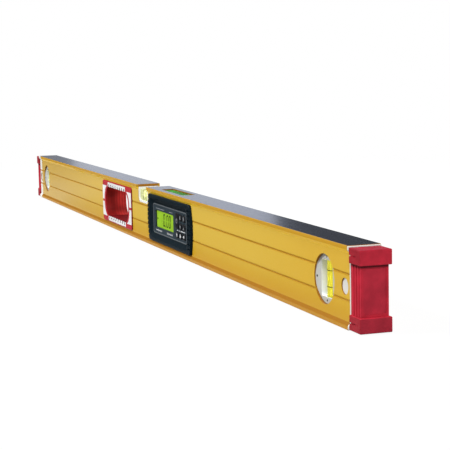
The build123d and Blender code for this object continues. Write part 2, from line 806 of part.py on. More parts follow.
# Key places: one tall key and seven small ones
power_key_z = (key_rows[0] + key_rows[1]) / 2 + power_key_lift
keys = {
    "key_power": (key_columns[0], power_key_z, power_key_width, power_key_height),
    "key_light": (key_columns[0], key_rows[2], key_width, key_height),
    "key_mode": (key_columns[1], key_rows[0], key_width, key_height),
    "key_hold": (key_columns[1], key_rows[1], key_width, key_height),
    "key_lock": (key_columns[1], key_rows[2], key_width, key_height),
    "key_calibrate": (key_columns[2], key_rows[0], key_width, key_height),
    "key_reference": (key_columns[2], key_rows[1], key_width, key_height),
    "key_sound": (key_columns[2], key_rows[2], key_width, key_height),
}

# Module panel: the plate in the bezel with a bead round it, a window for the display and a hole for each key
with BuildPart() as module_panel:
    with BuildSketch(Plane.XZ.offset(panel_back)):
        with Locations((module_x, mid)):
            RectangleRounded(panel_width - 2 * fit, panel_height - 2 * fit, panel_corner - fit)
        with Locations((module_x + lcd_offset, mid)):
            Rectangle(lcd_view_width + 2 * fit, lcd_view_height + 2 * fit, mode=Mode.SUBTRACT)
    extrude(amount=panel_thickness)
    with BuildSketch(Plane.XZ.offset(panel_face)):
        with Locations((module_x, mid)):
            RectangleRounded(panel_width - 2 * fit, panel_height - 2 * fit, panel_corner - fit)
            RectangleRounded(panel_width - 2 * (fit + panel_rim), panel_height - 2 * (fit + panel_rim),
                             panel_corner - fit - panel_rim, mode=Mode.SUBTRACT)
    extrude(amount=panel_rim_height)
    fillet(module_panel.faces().sort_by(Axis.Y)[0].edges(), panel_rim_round)
    with BuildSketch(Plane.XZ.offset(panel_back)):
        for key_x, key_z, width, tall in keys.values():
            key_outline(key_x, key_z, width, tall, key_clearance)
    extrude(amount=panel_thickness, mode=Mode.SUBTRACT)
module_panel.part.label = "module_panel"
export_step(module_panel.part, "parts/module_panel.step")


# Key: a crowned cap that runs in the panel, with a flange behind it
def make_key(key_x, key_z, width, tall, name):
    flange_front = panel_back - key_play
    with BuildPart() as key:
        with BuildSketch(Plane.XZ.offset(flange_front)):
            key_outline(key_x, key_z, width, tall)
        extrude(amount=panel_face + key_proud - flange_front)
        crown = key.faces().sort_by(Axis.Y)[0]
        fillet(crown.edges(), key_crown)
        with BuildSketch(Plane.XZ.offset(flange_front)):
            key_outline(key_x, key_z, width, tall, key_flange)
        extrude(amount=-key_flange_thickness)
    key.part.label = name
    export_step(key.part, f"parts/{name}.step")


for name, (key_x, key_z, width, tall) in keys.items():
    make_key(key_x, key_z, width, tall, name)

# Display lens and the display behind it
with BuildPart() as display_lens:
    with BuildSketch(Plane.XZ.offset(panel_face - lens_sink)):
        with Locations((module_x + lcd_offset, mid)):
            Rectangle(lcd_view_width, lcd_view_height)
    extrude(amount=-lens_thickness)
display_lens.part.label = "display_lens"
export_step(display_lens.part, "parts/display_lens.step")

with BuildPart() as display:
    with BuildSketch(Plane.XZ.offset(board_front)):
        with Locations((module_x + lcd_offset, mid)):
            Rectangle(lcd_view_width + 2 * lcd_border, lcd_view_height + 2 * lcd_border)
    extrude(amount=lcd_thickness)
display.part.label = "display"
export_step(display.part, "parts/display.step")

# Circuit board with its chips, and a rubber dome under each key
with BuildPart() as circuit_board:
    with BuildSketch(Plane.XZ.offset(board_back)):
        with Locations((module_x, mid)):
            RectangleRounded(board_width, board_height, board_corner)
        with Locations(*module_screws):
            Circle(screw_radius + screw_clearance, mode=Mode.SUBTRACT)
    extrude(amount=board_thickness)
    with BuildSketch(Plane.XZ.offset(board_back)):
        with Locations((module_x + sensor_x, mid + buzzer_z)):
            with GridLocations(chip_pitch, 0, 2, 1):
                Rectangle(chip_width, chip_height)
    extrude(amount=-chip_thickness)
circuit_board.part.label = "circuit_board"
export_step(circuit_board.part, "parts/circuit_board.step")

dome_height = panel_back - key_play - key_flange_thickness - key_travel - key_clearance - board_front
with BuildPart() as key_domes:
    for key_x, key_z, width, tall in keys.values():
        dome_middle = (module_x + key_x, -board_front - dome_height / 2, mid + key_z)
        with Locations(Location(dome_middle, (90, 0, 0))):
            Cone(dome_radius, dome_top_radius, dome_height)
key_domes.part.label = "key_domes"
export_step(key_domes.part, "parts/key_domes.step")

# Tilt sensor and buzzer on the back of the board
with BuildPart() as tilt_sensor:
    with BuildSketch(Plane.XZ.offset(board_back)):
        with Locations((module_x + sensor_x, mid + sensor_z)):
            RectangleRounded(sensor_width, sensor_height, sensor_corner)
    extrude(amount=-sensor_thickness)
    fillet(tilt_sensor.faces().sort_by(Axis.Y)[-1].edges(), sensor_round)
tilt_sensor.part.label = "tilt_sensor"
export_step(tilt_sensor.part, "parts/tilt_sensor.step")

with BuildPart() as buzzer:
    with BuildSketch(Plane.XZ.offset(board_back)):
        with Locations((module_x + buzzer_x, mid + buzzer_z)):
            Circle(buzzer_radius)
    extrude(amount=-buzzer_thickness)
    with BuildSketch(Plane.XZ.offset(board_back - buzzer_thickness)):
        with Locations((module_x + buzzer_x, mid + buzzer_z)):
            Circle(buzzer_port)
    extrude(amount=buzzer_port_depth, mode=Mode.SUBTRACT)
buzzer.part.label = "buzzer"
export_step(buzzer.part, "parts/buzzer.step")

# Rear housing: flange on the rear web, skirt to the front housing, bosses to the board, battery opening
ledge_face = web_half + side_proud - cover_thickness - gasket_thickness
cover_x = module_x + tray_x
cover_open_width = cover_width - 2 * cover_end_ledge
cover_open_height = cover_height - 2 * cover_side_ledge
cover_screw_reach = cover_width / 2 - cover_screw_inset
cover_screws = [(cover_x - cover_screw_reach, mid), (cover_x + cover_screw_reach, mid)]
with BuildPart() as rear_housing:
    with BuildSketch(Plane.XZ.offset(-web_half)):
        with Locations((module_x, mid)):
            RectangleRounded(rear_width, rear_height, rear_corner)
    extrude(amount=-side_proud)
    fillet(rear_housing.faces().sort_by(Axis.Y)[-1].edges(), module_edge_round)
    with BuildSketch(Plane.XZ.offset(-web_half)):
        with Locations((module_x, mid)):
            RectangleRounded(skirt_width, skirt_height, module_window_corner)
            RectangleRounded(inner_width, inner_height, inner_corner, mode=Mode.SUBTRACT)
    extrude(amount=web_half + housing_joint)
    with BuildSketch(Plane.XZ.offset(-web_half)):
        with Locations(*module_screws):
            Circle(post_radius)
    extrude(amount=web_half + board_back)
    with BuildSketch(Plane.XZ.offset(-front_face)):
        with Locations((cover_x, mid)):
            RectangleRounded(cover_width + 2 * fit, cover_height + 2 * fit, cover_corner)
    extrude(amount=front_face - ledge_face, mode=Mode.SUBTRACT)
    with BuildSketch(Plane.XZ.offset(-ledge_face)):
        with Locations((cover_x, mid)):
            Rectangle(cover_open_width, cover_open_height)
    extrude(amount=ledge_face - web_half, mode=Mode.SUBTRACT)
    with BuildSketch(Plane.XZ.offset(-front_face)):
        with Locations(*module_screws):
            Circle(screw_head_radius + screw_clearance)
    extrude(amount=screw_head_height, mode=Mode.SUBTRACT)
    with BuildSketch(Plane.XZ.offset(-front_face)):
        with Locations(*module_screws):
            Circle(screw_radius + screw_clearance)
    extrude(amount=front_face + board_back, mode=Mode.SUBTRACT)
    with BuildSketch(Plane.XZ.offset(-web_half)):
        with Locations(*cover_screws):
            Circle(cover_boss_radius)
    extrude(amount=cover_screw_length)
    with BuildSketch(Plane.XZ.offset(-ledge_face)):
        with Locations(*cover_screws):
            Circle(cover_screw_radius + screw_clearance)
    extrude(amount=cover_screw_length, mode=Mode.SUBTRACT)
rear_housing.part.label = "rear_housing"
export_step(rear_housing.part, "parts/rear_housing.step")

# Battery tray: hangs from the rear plate, with a round trough for each cell
cell_y = web_half - cell_gap - cell_radius
cell_space = cell_length + cell_nub_length + 2 * (contact_thickness + contact_gap)
tray_length = cell_space + 2 * tray_wall
tray_height = cell_pitch + 2 * (cell_radius + cell_clearance + tray_wall)
tray_bottom = cell_y - cell_radius - cell_clearance - tray_floor
cell_places = [(cell_y, mid + z) for z in (-cell_pitch / 2, cell_pitch / 2)]
with BuildPart() as battery_tray:
    with BuildSketch(Plane.YZ.offset(cover_x - tray_length / 2)):
        with Locations(((tray_bottom + web_half) / 2, mid)):
            Rectangle(web_half - tray_bottom, tray_height)
    extrude(amount=tray_length)
    with BuildSketch(Plane.YZ.offset(cover_x - cell_space / 2)):
        with Locations(*cell_places):
            Circle(cell_radius + cell_clearance)
        with Locations(*[((cell_y + web_half) / 2, z) for y, z in cell_places]):
            Rectangle(web_half - cell_y, 2 * (cell_radius + cell_clearance))
    extrude(amount=cell_space, mode=Mode.SUBTRACT)
battery_tray.part.label = "battery_tray"
export_step(battery_tray.part, "parts/battery_tray.step")

# Battery cells: two round cells that lie side by side, head to tail
with BuildPart() as battery_cells:
    for way, (y, z) in zip((1, -1), cell_places):
        with BuildSketch(Plane.YZ.offset(cover_x - way * (cell_length + cell_nub_length) / 2)):
            with Locations((y, z)):
                Circle(cell_radius)
        extrude(amount=way * cell_length)
        with BuildSketch(Plane.YZ.offset(cover_x + way * (cell_length - cell_nub_length) / 2)):
            with Locations((y, z)):
                Circle(cell_nub_radius)
        extrude(amount=way * cell_nub_length)
battery_cells.part.label = "battery_cells"
export_step(battery_cells.part, "parts/battery_cells.step")

# Battery contacts: a plate at each end of each cell
contact_x = (cell_space - contact_thickness) / 2
with BuildPart() as battery_contacts:
    with Locations([(cover_x + x, y, z) for x in (-contact_x, contact_x) for y, z in cell_places]):
        Box(contact_thickness, contact_size, contact_size)
battery_contacts.part.label = "battery_contacts"
export_step(battery_contacts.part, "parts/battery_contacts.step")

# Battery cover, its gasket and its two screws
with BuildPart() as cover_gasket:
    with BuildSketch(Plane.XZ.offset(-ledge_face)):
        with Locations((cover_x, mid)):
            RectangleRounded(cover_width, cover_height, cover_corner)
            Rectangle(cover_open_width, cover_open_height, mode=Mode.SUBTRACT)
        with Locations(*cover_screws):
            Circle(cover_screw_radius + screw_clearance, mode=Mode.SUBTRACT)
    extrude(amount=-gasket_thickness)
cover_gasket.part.label = "cover_gasket"
export_step(cover_gasket.part, "parts/cover_gasket.step")

with BuildPart() as battery_cover:
    with BuildSketch(Plane.XZ.offset(-front_face)):
        with Locations((cover_x, mid)):
            RectangleRounded(cover_width, cover_height, cover_corner)
        with Locations(*cover_screws):
            Circle(cover_screw_radius + screw_clearance, mode=Mode.SUBTRACT)
    extrude(amount=cover_thickness)
    with BuildSketch(Plane.XZ.offset(-front_face)):
        with Locations(*cover_screws):
            Circle(cover_screw_head + screw_clearance)
    extrude(amount=cover_screw_head_height, mode=Mode.SUBTRACT)
    with BuildSketch(Plane.XZ.offset(-front_face)):
        with Locations((cover_x, mid)):
            with GridLocations(cover_groove_pitch, 0, cover_groove_count, 1):
                SlotOverall(cover_groove_length, cover_groove_width, rotation=90)
    extrude(amount=cover_groove_depth, mode=Mode.SUBTRACT)
battery_cover.part.label = "battery_cover"
export_step(battery_cover.part, "parts/battery_cover.step")


# Screws: a flat head with a cross recess and a plain shank, all of one kind in one node
def make_screws(places, head_radius, head_height, shank_radius, length, name):
    with BuildPart() as screws:
        with BuildSketch(Plane.XZ.offset(-front_face)):
            with Locations(*places):
                Circle(head_radius)
        extrude(amount=head_height)
        with BuildSketch(Plane.XZ.offset(-front_face)):
            with Locations(*places):
                Circle(shank_radius)
        extrude(amount=length)
        with BuildSketch(Plane.XZ.offset(-front_face)):
            with Locations(*places):
                Rectangle(screw_recess * head_radius, screw_recess_width)
                Rectangle(screw_recess_width, screw_recess * head_radius)
        extrude(amount=screw_recess_depth, mode=Mode.SUBTRACT)
    screws.part.label = name
    export_step(screws.part, f"parts/{name}.step")


make_screws(cover_screws, cover_screw_head, cover_screw_head_height, cover_screw_radius,
            front_face - ledge_face + cover_screw_length - screw_clearance, "cover_screws")
make_screws(module_screws, screw_head_radius, screw_head_height, screw_radius,
            front_face + panel_back - screw_clearance, "module_screws")

# Second display: a lens in the slot of the top edge, the display under it and a carrier on the housings
lens_bottom = height - top_lens_sink - top_lens_thickness
top_lcd_bottom = lens_bottom - top_lcd_gap - top_lcd_thickness
carrier_floor = top_lcd_bottom - top_lcd_gap
carrier_top = height - flange_wall - carrier_fit
carrier_bottom = mid + module_window_height / 2 - fit
carrier_length = top_window_length + 2 * carrier_border
carrier_width = top_window_width + 2 * carrier_border
top_lcd_length = top_window_length - 2 * top_lcd_inset
top_lcd_width = top_window_width - 2 * top_lcd_inset
with BuildPart() as top_display_lens:
    with BuildSketch(Plane.XY.offset(lens_bottom)):
        with Locations((top_display_x, 0)):
            RectangleRounded(top_window_length - 2 * fit, top_window_width - 2 * fit, top_window_corner - fit)
    extrude(amount=top_lens_thickness)
top_display_lens.part.label = "top_display_lens"
export_step(top_display_lens.part, "parts/top_display_lens.step")

with BuildPart() as top_display:
    with BuildSketch(Plane.XY.offset(top_lcd_bottom)):
        with Locations((top_display_x, 0)):
            RectangleRounded(top_lcd_length, top_lcd_width, top_window_corner)
    extrude(amount=top_lcd_thickness)
top_display.part.label = "top_display"
export_step(top_display.part, "parts/top_display.step")

with BuildPart() as top_display_carrier:
    with BuildSketch(Plane.XY.offset(carrier_bottom)):
        with Locations((top_display_x, 0)):
            Rectangle(carrier_length, carrier_width)
    extrude(amount=carrier_top - carrier_bottom)
    with BuildSketch(Plane.XY.offset(carrier_floor)):
        with Locations((top_display_x, 0)):
            Rectangle(top_lcd_length + 2 * carrier_fit, top_lcd_width + 2 * carrier_fit)
    extrude(amount=carrier_top - carrier_floor, mode=Mode.SUBTRACT)
top_display_carrier.part.label = "top_display_carrier"
export_step(top_display_carrier.part, "parts/top_display_carrier.step")
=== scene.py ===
# %% [markdown]
# # A digital spirit level, dressed
#
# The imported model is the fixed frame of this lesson: a yellow box section with a red hand grip, a level
# vial in the top edge, a plumb vial near each end and an electronic angle module. The frame has the shapes
# and the joints. Here it gets its finishes, the marks on its displays and keys, soft light and a camera.

# %% Load the frame
import bpy
import bmesh
import json
import math
from mathutils import Matrix, Vector


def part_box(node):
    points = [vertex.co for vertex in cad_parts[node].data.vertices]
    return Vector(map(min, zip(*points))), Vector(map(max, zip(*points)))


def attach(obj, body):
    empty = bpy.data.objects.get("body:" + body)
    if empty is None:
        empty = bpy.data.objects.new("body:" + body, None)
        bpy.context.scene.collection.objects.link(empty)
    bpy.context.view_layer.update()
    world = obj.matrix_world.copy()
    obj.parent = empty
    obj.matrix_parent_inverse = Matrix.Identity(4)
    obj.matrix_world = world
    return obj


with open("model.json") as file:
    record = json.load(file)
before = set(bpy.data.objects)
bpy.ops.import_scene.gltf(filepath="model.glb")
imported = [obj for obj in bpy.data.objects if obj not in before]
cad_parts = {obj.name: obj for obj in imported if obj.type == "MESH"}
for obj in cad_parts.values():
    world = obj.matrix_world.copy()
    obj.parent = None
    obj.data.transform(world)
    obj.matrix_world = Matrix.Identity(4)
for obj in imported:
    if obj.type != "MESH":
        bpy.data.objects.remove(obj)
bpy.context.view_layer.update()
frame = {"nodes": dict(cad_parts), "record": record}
nodes = frame["nodes"]
MM = 0.001

# %% [markdown]
# ## Camera
#
# The picture is taken with a long lens from the right end, a little above the top edge. The angles and the
# distance were fitted to the long edges of the level, so the camera is set from numbers and not aimed by
# hand. A camera looks along its own -Z, so the three columns of its matrix are the picture's right, its up
# and the way back to the lens.

# %% Place the camera
AZIMUTH, ELEVATION, ROLL = (math.radians(a) for a in (71.205, 6.757, -1.143))
FOCAL_PIXELS, PICTURE_PIXELS, SENSOR_WIDTH = 1345.314, 450.0, 36.0
CAMERA_PLACE = Vector((1.495349, -0.417964, 0.198409))
NEAR_LIMIT, FAR_LIMIT = 0.01, 100.0

back = Vector((math.sin(AZIMUTH) * math.cos(ELEVATION), -math.cos(AZIMUTH) * math.cos(ELEVATION),
               math.sin(ELEVATION)))
level_right = Vector((0, 0, 1)).cross(back).normalized()
level_up = back.cross(level_right)
right = math.cos(ROLL) * level_right + math.sin(ROLL) * level_up
up = -math.sin(ROLL) * level_right + math.cos(ROLL) * level_up
camera = bpy.data.objects.new("camera", bpy.data.cameras.new("camera"))
camera.data.sensor_width = SENSOR_WIDTH
camera.data.lens = FOCAL_PIXELS * SENSOR_WIDTH / PICTURE_PIXELS
camera.data.clip_start, camera.data.clip_end = NEAR_LIMIT, FAR_LIMIT
camera.matrix_world = Matrix.Translation(CAMERA_PLACE) @ Matrix((right, up, back)).transposed().to_4x4()
bpy.context.scene.collection.objects.link(camera)
bpy.context.scene.camera = camera
bpy.context.scene.view_settings.view_transform = "Standard"
print("camera lens", round(camera.data.lens, 2), "mm at", tuple(round(c, 3) for c in CAMERA_PLACE))

# %% [markdown]
# ## Shader helpers
#
# Every finish below is a small node tree around one Principled shader. One helper adds a node, sets its
# options and fills its inputs, either with a value or with a link from another node's output. All patterns
# read Object coordinates. Each piece sits unturned at the origin, so these coordinates are metres in the
# frame of the level.

# %% Helpers that build a node tree
ALONG, ACROSS, UPWARD = 0, 1, 2


def add_node(tree, kind, inputs=None, **options):
    """Adds a shader node; an input gets a link if its value is a socket, and otherwise the value itself."""
    made = tree.nodes.new("ShaderNode" + kind)
    for key, value in options.items():
        setattr(made, key, value)
    for key, value in (inputs or {}).items():
        if isinstance(value, bpy.types.NodeSocket):
            tree.links.new(value, made.inputs[key])
        else:
            made.inputs[key].default_value = value
    return made


def new_finish(name, **constants):
    """A material with one Principled shader; constants are set straight on its sockets."""
    material = bpy.data.materials.new(name)
    material.use_nodes = True
    shader = material.node_tree.nodes["Principled BSDF"]
    for key, value in constants.items():
        shader.inputs[key.replace("_", " ")].default_value = value
    return material, material.node_tree, shader


def object_place(tree):
    """The place of the shaded point in the frame of the level, in metres."""
    place = tree.nodes.get("object place") or add_node(tree, "TexCoord", name="object place")
    return place.outputs["Object"]


def coordinate(tree, axis):
    """The place of the shaded point along one axis of the level."""
    return add_node(tree, "SeparateXYZ", {0: object_place(tree)}).outputs[axis]


def object_noise(tree, scale, stretch=(1, 1, 1), detail=2.0):
    """Noise in object space; scale counts the blots in a metre, and stretch squeezes it along each axis."""
    squeezed = add_node(tree, "Mapping", {"Vector": object_place(tree), "Scale": stretch}).outputs[0]
    return add_node(tree, "TexNoise", {"Vector": squeezed, "Scale": scale, "Detail": detail}).outputs[0]


def bump(tree, shader, height, strength, depth):
    """Raises the surface by height, as seen by the light only."""
    raised = add_node(tree, "Bump", {"Height": height, "Strength": strength, "Distance": depth})
    tree.links.new(raised.outputs[0], shader.inputs["Normal"])


print("axes of the level: along", ALONG, "across", ACROSS, "upward", UPWARD)

# %% [markdown]
# ## Mixing
#
# A Mix node blends two numbers or two colours, a Map Range node stretches a number to other limits, and a
# Math node does one step of arithmetic. Each gets a short helper, so that the finishes read like formulas.
# A Mix node keeps its numbers on inputs 2 and 3 and its colours on inputs 6 and 7. Colours are written as
# they read on a screen and turned into linear light, which is what a shader takes.

# %% Helpers that mix


def mix_numbers(tree, factor, first, second):
    """A number between first and second."""
    return add_node(tree, "Mix", {0: factor, 2: first, 3: second}, data_type="FLOAT").outputs[0]


def mix_colours(tree, factor, first, second):
    """A colour between first and second."""
    return add_node(tree, "Mix", {0: factor, 6: first, 7: second}, data_type="RGBA").outputs[2]


def mapped(tree, value, low, high, start=0.3, end=0.7):
    """Spreads what lies between start and end from low to high; the limits given here suit noise."""
    limits = {"Value": value, "From Min": start, "From Max": end, "To Min": low, "To Max": high}
    return add_node(tree, "MapRange", limits).outputs[0]


def maths(tree, operation, first, second=0.0):
    """One Math node."""
    return add_node(tree, "Math", {0: first, 1: second}, operation=operation).outputs[0]


def rgb(red, green, blue):
    """A colour as it reads on a screen, 0 to 255, as the linear colour that a shader takes."""
    shares = (red / 255, green / 255, blue / 255)
    return tuple(s / 12.92 if s <= 0.04045 else ((s + 0.055) / 1.055) ** 2.4 for s in shares) + (1,)


def scaled(colour, factor):
    """The same hue, lighter or darker."""
    return tuple(min(1.0, c * factor) for c in colour[:3]) + (1,)


print("a mid grey of 128 is", round(rgb(128, 128, 128)[0], 3), "in linear light")

# %% [markdown]
# ## Masks
#
# A finish that differs from place to place is a stack of colours with a mask for each. A mask is a function
# that adds its nodes to a tree and gives a number from 0 to 1. Written so, one mask serves several
# finishes, and two masks can be joined. Where start lies past end, a mask fades the other way.

# %% Masks by place
EDGE = 0.1 * MM


def after(axis, start, end, full=1.0):
    """A mask that goes from 0 to full while the place along an axis goes from start to end."""
    def mask(tree):
        return mapped(tree, coordinate(tree, axis), 0, full, start, end)
    return mask


def beyond(axis, start, end):
    """A mask as after gives it, for the distance from the middle to either side."""
    def mask(tree):
        return mapped(tree, maths(tree, "ABSOLUTE", coordinate(tree, axis)), 0, 1, start, end)
    return mask


def both(first, second):
    """A mask that holds where two masks hold together."""
    def mask(tree):
        return maths(tree, "MULTIPLY", first(tree), second(tree))
    return mask


def layered(tree, colour, accents):
    """The colour, with the colour of each accent over it where that accent's mask says so."""
    for mask, tint in accents:
        colour = mix_colours(tree, mask(tree), colour, tint)
    return colour


print("edges of masks are counted in steps of", round(EDGE / MM, 1), "mm")

# %% [markdown]
# ## Moulded skins
#
# Most pieces are moulded plastic or rubber. Such a skin is never one flat colour: the pigment drifts a
# little over some centimetres, the mould leaves a fine grain of a fraction of a millimetre, and gloss
# follows that grain. One function makes all of them, with the grain's size and depth as its arguments. The
# gloss level is low on most of them, because a grained skin shows little mirror image even when it is seen
# at a flat angle. An accent is a further colour that takes over where its mask says so.

# %% One function for moulded skins
GRAIN_GLOSS, GRAIN_STRENGTH, FEW_BLOTS = 0.06, 0.5, 28.0


def moulded(name, colour, rough, grain, depth, drift, gloss, accents=(), blots=FEW_BLOTS):
    """A moulded skin: grain and blots count in a metre, depth is in millimetres, and drift is a share."""
    material, tree, shader = new_finish(name, Specular_IOR_Level=gloss)
    patches = mapped(tree, object_noise(tree, blots, detail=4.0), 0, 1)

    def drifting(tint):
        return mix_colours(tree, patches, scaled(tint, 1 - drift), scaled(tint, 1 + drift))

    shade = layered(tree, drifting(colour), [(mask, drifting(tint)) for mask, tint in accents])
    tree.links.new(shade, shader.inputs["Base Color"])
    skin = object_noise(tree, grain)
    tree.links.new(mapped(tree, skin, rough - GRAIN_GLOSS, rough + GRAIN_GLOSS), shader.inputs["Roughness"])
    bump(tree, shader, skin, GRAIN_STRENGTH, depth * MM)
    return material


print("a moulded skin varies its roughness by", GRAIN_GLOSS, "either way")

# %% [markdown]
# ## The end caps' accents
#
# A cap is one piece of rubber of one red, and its other reds are painted shade. The recessed face of its
# waist is painted a little duller, and a painted shadow lies in the corner under its top block. The foot,
# the broad sides and the top are painted darker, as shade from the way the light falls on them. Each of
# these could be a material on its own faces. Masks by place do it in one material, for both caps at once,
# because a cap's distance from the middle is the same at either end. An accent covers those before it, so
# some of them only bring the plain red back where an earlier mask reached too far.

# %% Accents of the caps
CAP_BLOCK, WAIST_RECESS, FIELD_RECESS = 11.7 * MM, 2.4 * MM, 2.9 * MM
SHADOW_START, SHADOW_END = 2.6 * MM, 1.0 * MM
CRIMSON, SHADED_WAIST_CRIMSON, SHADOW_CRIMSON = rgb(174, 35, 52), rgb(169, 37, 54), rgb(88, 15, 24)
SHADED_FOOT_CRIMSON, SHADED_SIDE_CRIMSON, SHADED_TOP_CRIMSON = rgb(152, 34, 49), rgb(142, 26, 39), rgb(139, 22, 42)
cap_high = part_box("end_cap_right")[1]
waist_face, field_face = cap_high.x - WAIST_RECESS, cap_high.x - FIELD_RECESS
block_under, tongue_root = cap_high.z - CAP_BLOCK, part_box("end_plug_right")[1].x
# Painted shade: a duller waist face, a shadow under the top block, a darker foot, sides and top.
cap_accents = (
    (beyond(ALONG, waist_face - EDGE, field_face + 2 * EDGE), SHADED_WAIST_CRIMSON),
    (beyond(ALONG, field_face - EDGE, field_face - 4 * EDGE), CRIMSON),
    (after(UPWARD, block_under - SHADOW_START, block_under - SHADOW_END), SHADOW_CRIMSON),
    (after(UPWARD, block_under - EDGE, block_under + EDGE), CRIMSON),
    (after(UPWARD, CAP_BLOCK + EDGE, CAP_BLOCK - EDGE), SHADED_FOOT_CRIMSON),
    (beyond(ACROSS, cap_high.y - 5 * EDGE, cap_high.y - EDGE), SHADED_SIDE_CRIMSON),
    (after(UPWARD, cap_high.z - 6 * EDGE, cap_high.z), SHADED_TOP_CRIMSON),
    (beyond(ALONG, tongue_root + EDGE, tongue_root - EDGE), CRIMSON),
)
print("cap accents:", len(cap_accents), "with the top block from z", round(block_under / MM, 1), "mm up")

# %% [markdown]
# ## The grip's accents
#
# The tunnel through the grip is painted a deeper red than its frame, as the shade inside it. It is painted
# lighter towards the rear, as the light that comes in from behind, and darker on its floor, as shade, and
# faint upright ribs on its walls are drawn by painted shade in their valleys. The shell's narrow side next
# to the module is painted dark, as the shade on that side. The ribs are a sine of the depth, which is
# cheaper than cutting them and shows as much.

# %% Accents of the grip
RIB_PITCH, RIB_SHADE, VALLEY_START = 3.5 * MM, 0.35, -0.2
FLOOR_LOW, FLOOR_HIGH, FLOOR_SHADE = 20.0 * MM, 30.0 * MM, 0.5
# Painted shadow red, for the dark notches in the grip's strips.
NOTCH_SHADOW_RED = rgb(70, 11, 15)
grip_low, grip_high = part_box("grip_shell_front")
grip_face = -grip_low.y


def rib_valley_shade(tree):
    """A mask of painted shade for the valleys between upright ribs that follow each other across the level.
    """
    turns = maths(tree, "MULTIPLY", coordinate(tree, ACROSS), 2 * math.pi / RIB_PITCH)
    return mapped(tree, maths(tree, "SINE", turns), 0, RIB_SHADE, VALLEY_START, 1.0)


tunnel = beyond(ACROSS, grip_face - EDGE, grip_face - 6 * EDGE)
# Painted shade in the tunnel, on its floor and in its rib valleys, painted light at its rear, and painted
# shade on the shell's right side.
grip_accents = (
    (tunnel, rgb(140, 25, 22)),
    (both(tunnel, after(ACROSS, -grip_face / 3, grip_face / 2)), rgb(240, 66, 62)),
    (both(tunnel, rib_valley_shade), rgb(104, 14, 16)),
    (both(tunnel, after(UPWARD, FLOOR_HIGH, FLOOR_LOW, FLOOR_SHADE)), rgb(62, 9, 10)),
    (after(ALONG, grip_high.x - 4.5 * EDGE, grip_high.x - 2 * EDGE), rgb(96, 13, 20)),
)
print("grip accents:", len(grip_accents), "with ribs", round(RIB_PITCH / MM, 1), "mm apart")

# %% [markdown]
# ## Accents of the panel and the plumb holders
#
# The panel's raised bead is painted lighter along its crest, as a painted highlight. The dished faces of
# the plumb holders are greyer than their wells, which are painted bright and bluish white as painted light
# where they lie in shade, and their four small pin holes are painted dark, as painted shade. The pin holes
# of a holder lie on a cross, so their mask folds the cross onto one hole and then needs only one circle.

# %% The bead, the dish and the pin holes
PIN_REACH, PIN_RADIUS, DISH_DEPTH = 17.3 * MM, 1.0 * MM, 1.5 * MM
panel_low, panel_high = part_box("module_panel")
bead_highlight = beyond(ACROSS, -panel_low.y - 4.5 * EDGE, -panel_low.y - 1.5 * EDGE)
plumb_low, plumb_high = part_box("plumb_vial_holder_right")
plumb_middle, well_edge = (plumb_low + plumb_high) / 2, plumb_high.y - DISH_DEPTH
dish = beyond(ACROSS, well_edge - 3 * EDGE, well_edge)


def pin_holes(tree):
    """A mask of painted shade for the four pin holes round a plumb vial, at either end of the level."""
    away = maths(tree, "SUBTRACT", maths(tree, "ABSOLUTE", coordinate(tree, ALONG)), plumb_middle.x)
    above = maths(tree, "SUBTRACT", coordinate(tree, UPWARD), plumb_middle.z)
    sideways, upright = (maths(tree, "ABSOLUTE", offset) for offset in (away, above))
    outward = maths(tree, "SUBTRACT", maths(tree, "MAXIMUM", sideways, upright), PIN_REACH)
    folded = add_node(tree, "CombineXYZ", {0: outward, 1: maths(tree, "MINIMUM", sideways, upright)})
    span = add_node(tree, "VectorMath", {0: folded.outputs[0]}, operation="LENGTH").outputs["Value"]
    return maths(tree, "LESS_THAN", span, PIN_RADIUS)


print("plumb holder round", tuple(round(c, 4) for c in plumb_middle))

# %% [markdown]
# ## The moulded finishes
#
# Each row of the table is one slot of the record: the finish's name, its colour, its roughness, the grain
# in a metre and its depth in millimetres, how far the colour drifts, and the gloss level. Rubber gets a
# coarse grain and hard plastic a fine one, and the gloss stays lowest on the dark pieces, which would turn
# milky at a flat angle. Where a row goes on, it names accents and finer blots. Two finishes more belong to
# single pieces: the plumb holders are dished, with painted light in their wells and painted shade in their
# pin holes, and the grip's pale strips get painted shade where their notches reach into the tunnel.

# %% Moulded plastics and rubbers
WHITE = rgb(226, 227, 228)
moulded_rows = {
    "red_rubber": ("crimson rubber", CRIMSON, 0.60, 700.0, 0.12, 0.17, 0.12, cap_accents, 110.0),
    "pale_plastic": ("pale plastic", rgb(208, 207, 202), 0.45, 1200.0, 0.03, 0.03, 0.3),
    "grip_red": ("red grip plastic", rgb(170, 28, 42), 0.45, 1100.0, 0.05, 0.14, 0.15, grip_accents, 160.0),
    "grip_rubber": ("dark red grip rubber", rgb(112, 16, 21), 0.60, 800.0, 0.08, 0.14, 0.1),
    "white_plastic": ("white plastic", WHITE, 0.40, 1200.0, 0.03, 0.03, 0.3),
    "ring_black": ("black ring print", rgb(14, 14, 14), 0.50, 1500.0, 0.02, 0.20, 0.2),
    "housing_grey": ("dark housing plastic", rgb(9, 23, 30), 0.50, 1600.0, 0.07, 0.10, 0.06),
    "panel_grey": ("grey panel plastic", rgb(44, 55, 62), 0.45, 1800.0, 0.03, 0.06, 0.06,
                   ((bead_highlight, rgb(92, 98, 102)),)),
    "key_rubber": ("black key rubber", rgb(16, 17, 20), 0.42, 1500.0, 0.04, 0.15, 0.15),
    "board_green": ("green board lacquer", rgb(24, 96, 48), 0.30, 600.0, 0.03, 0.20, 0.4),
    "tray_black": ("black tray plastic", rgb(34, 34, 36), 0.50, 1300.0, 0.05, 0.12, 0.2),
    "cell_wrap": ("dark cell wrap", rgb(58, 60, 66), 0.30, 300.0, 0.02, 0.12, 0.4),
}
finishes = {slot: moulded(*row) for slot, row in moulded_rows.items()}
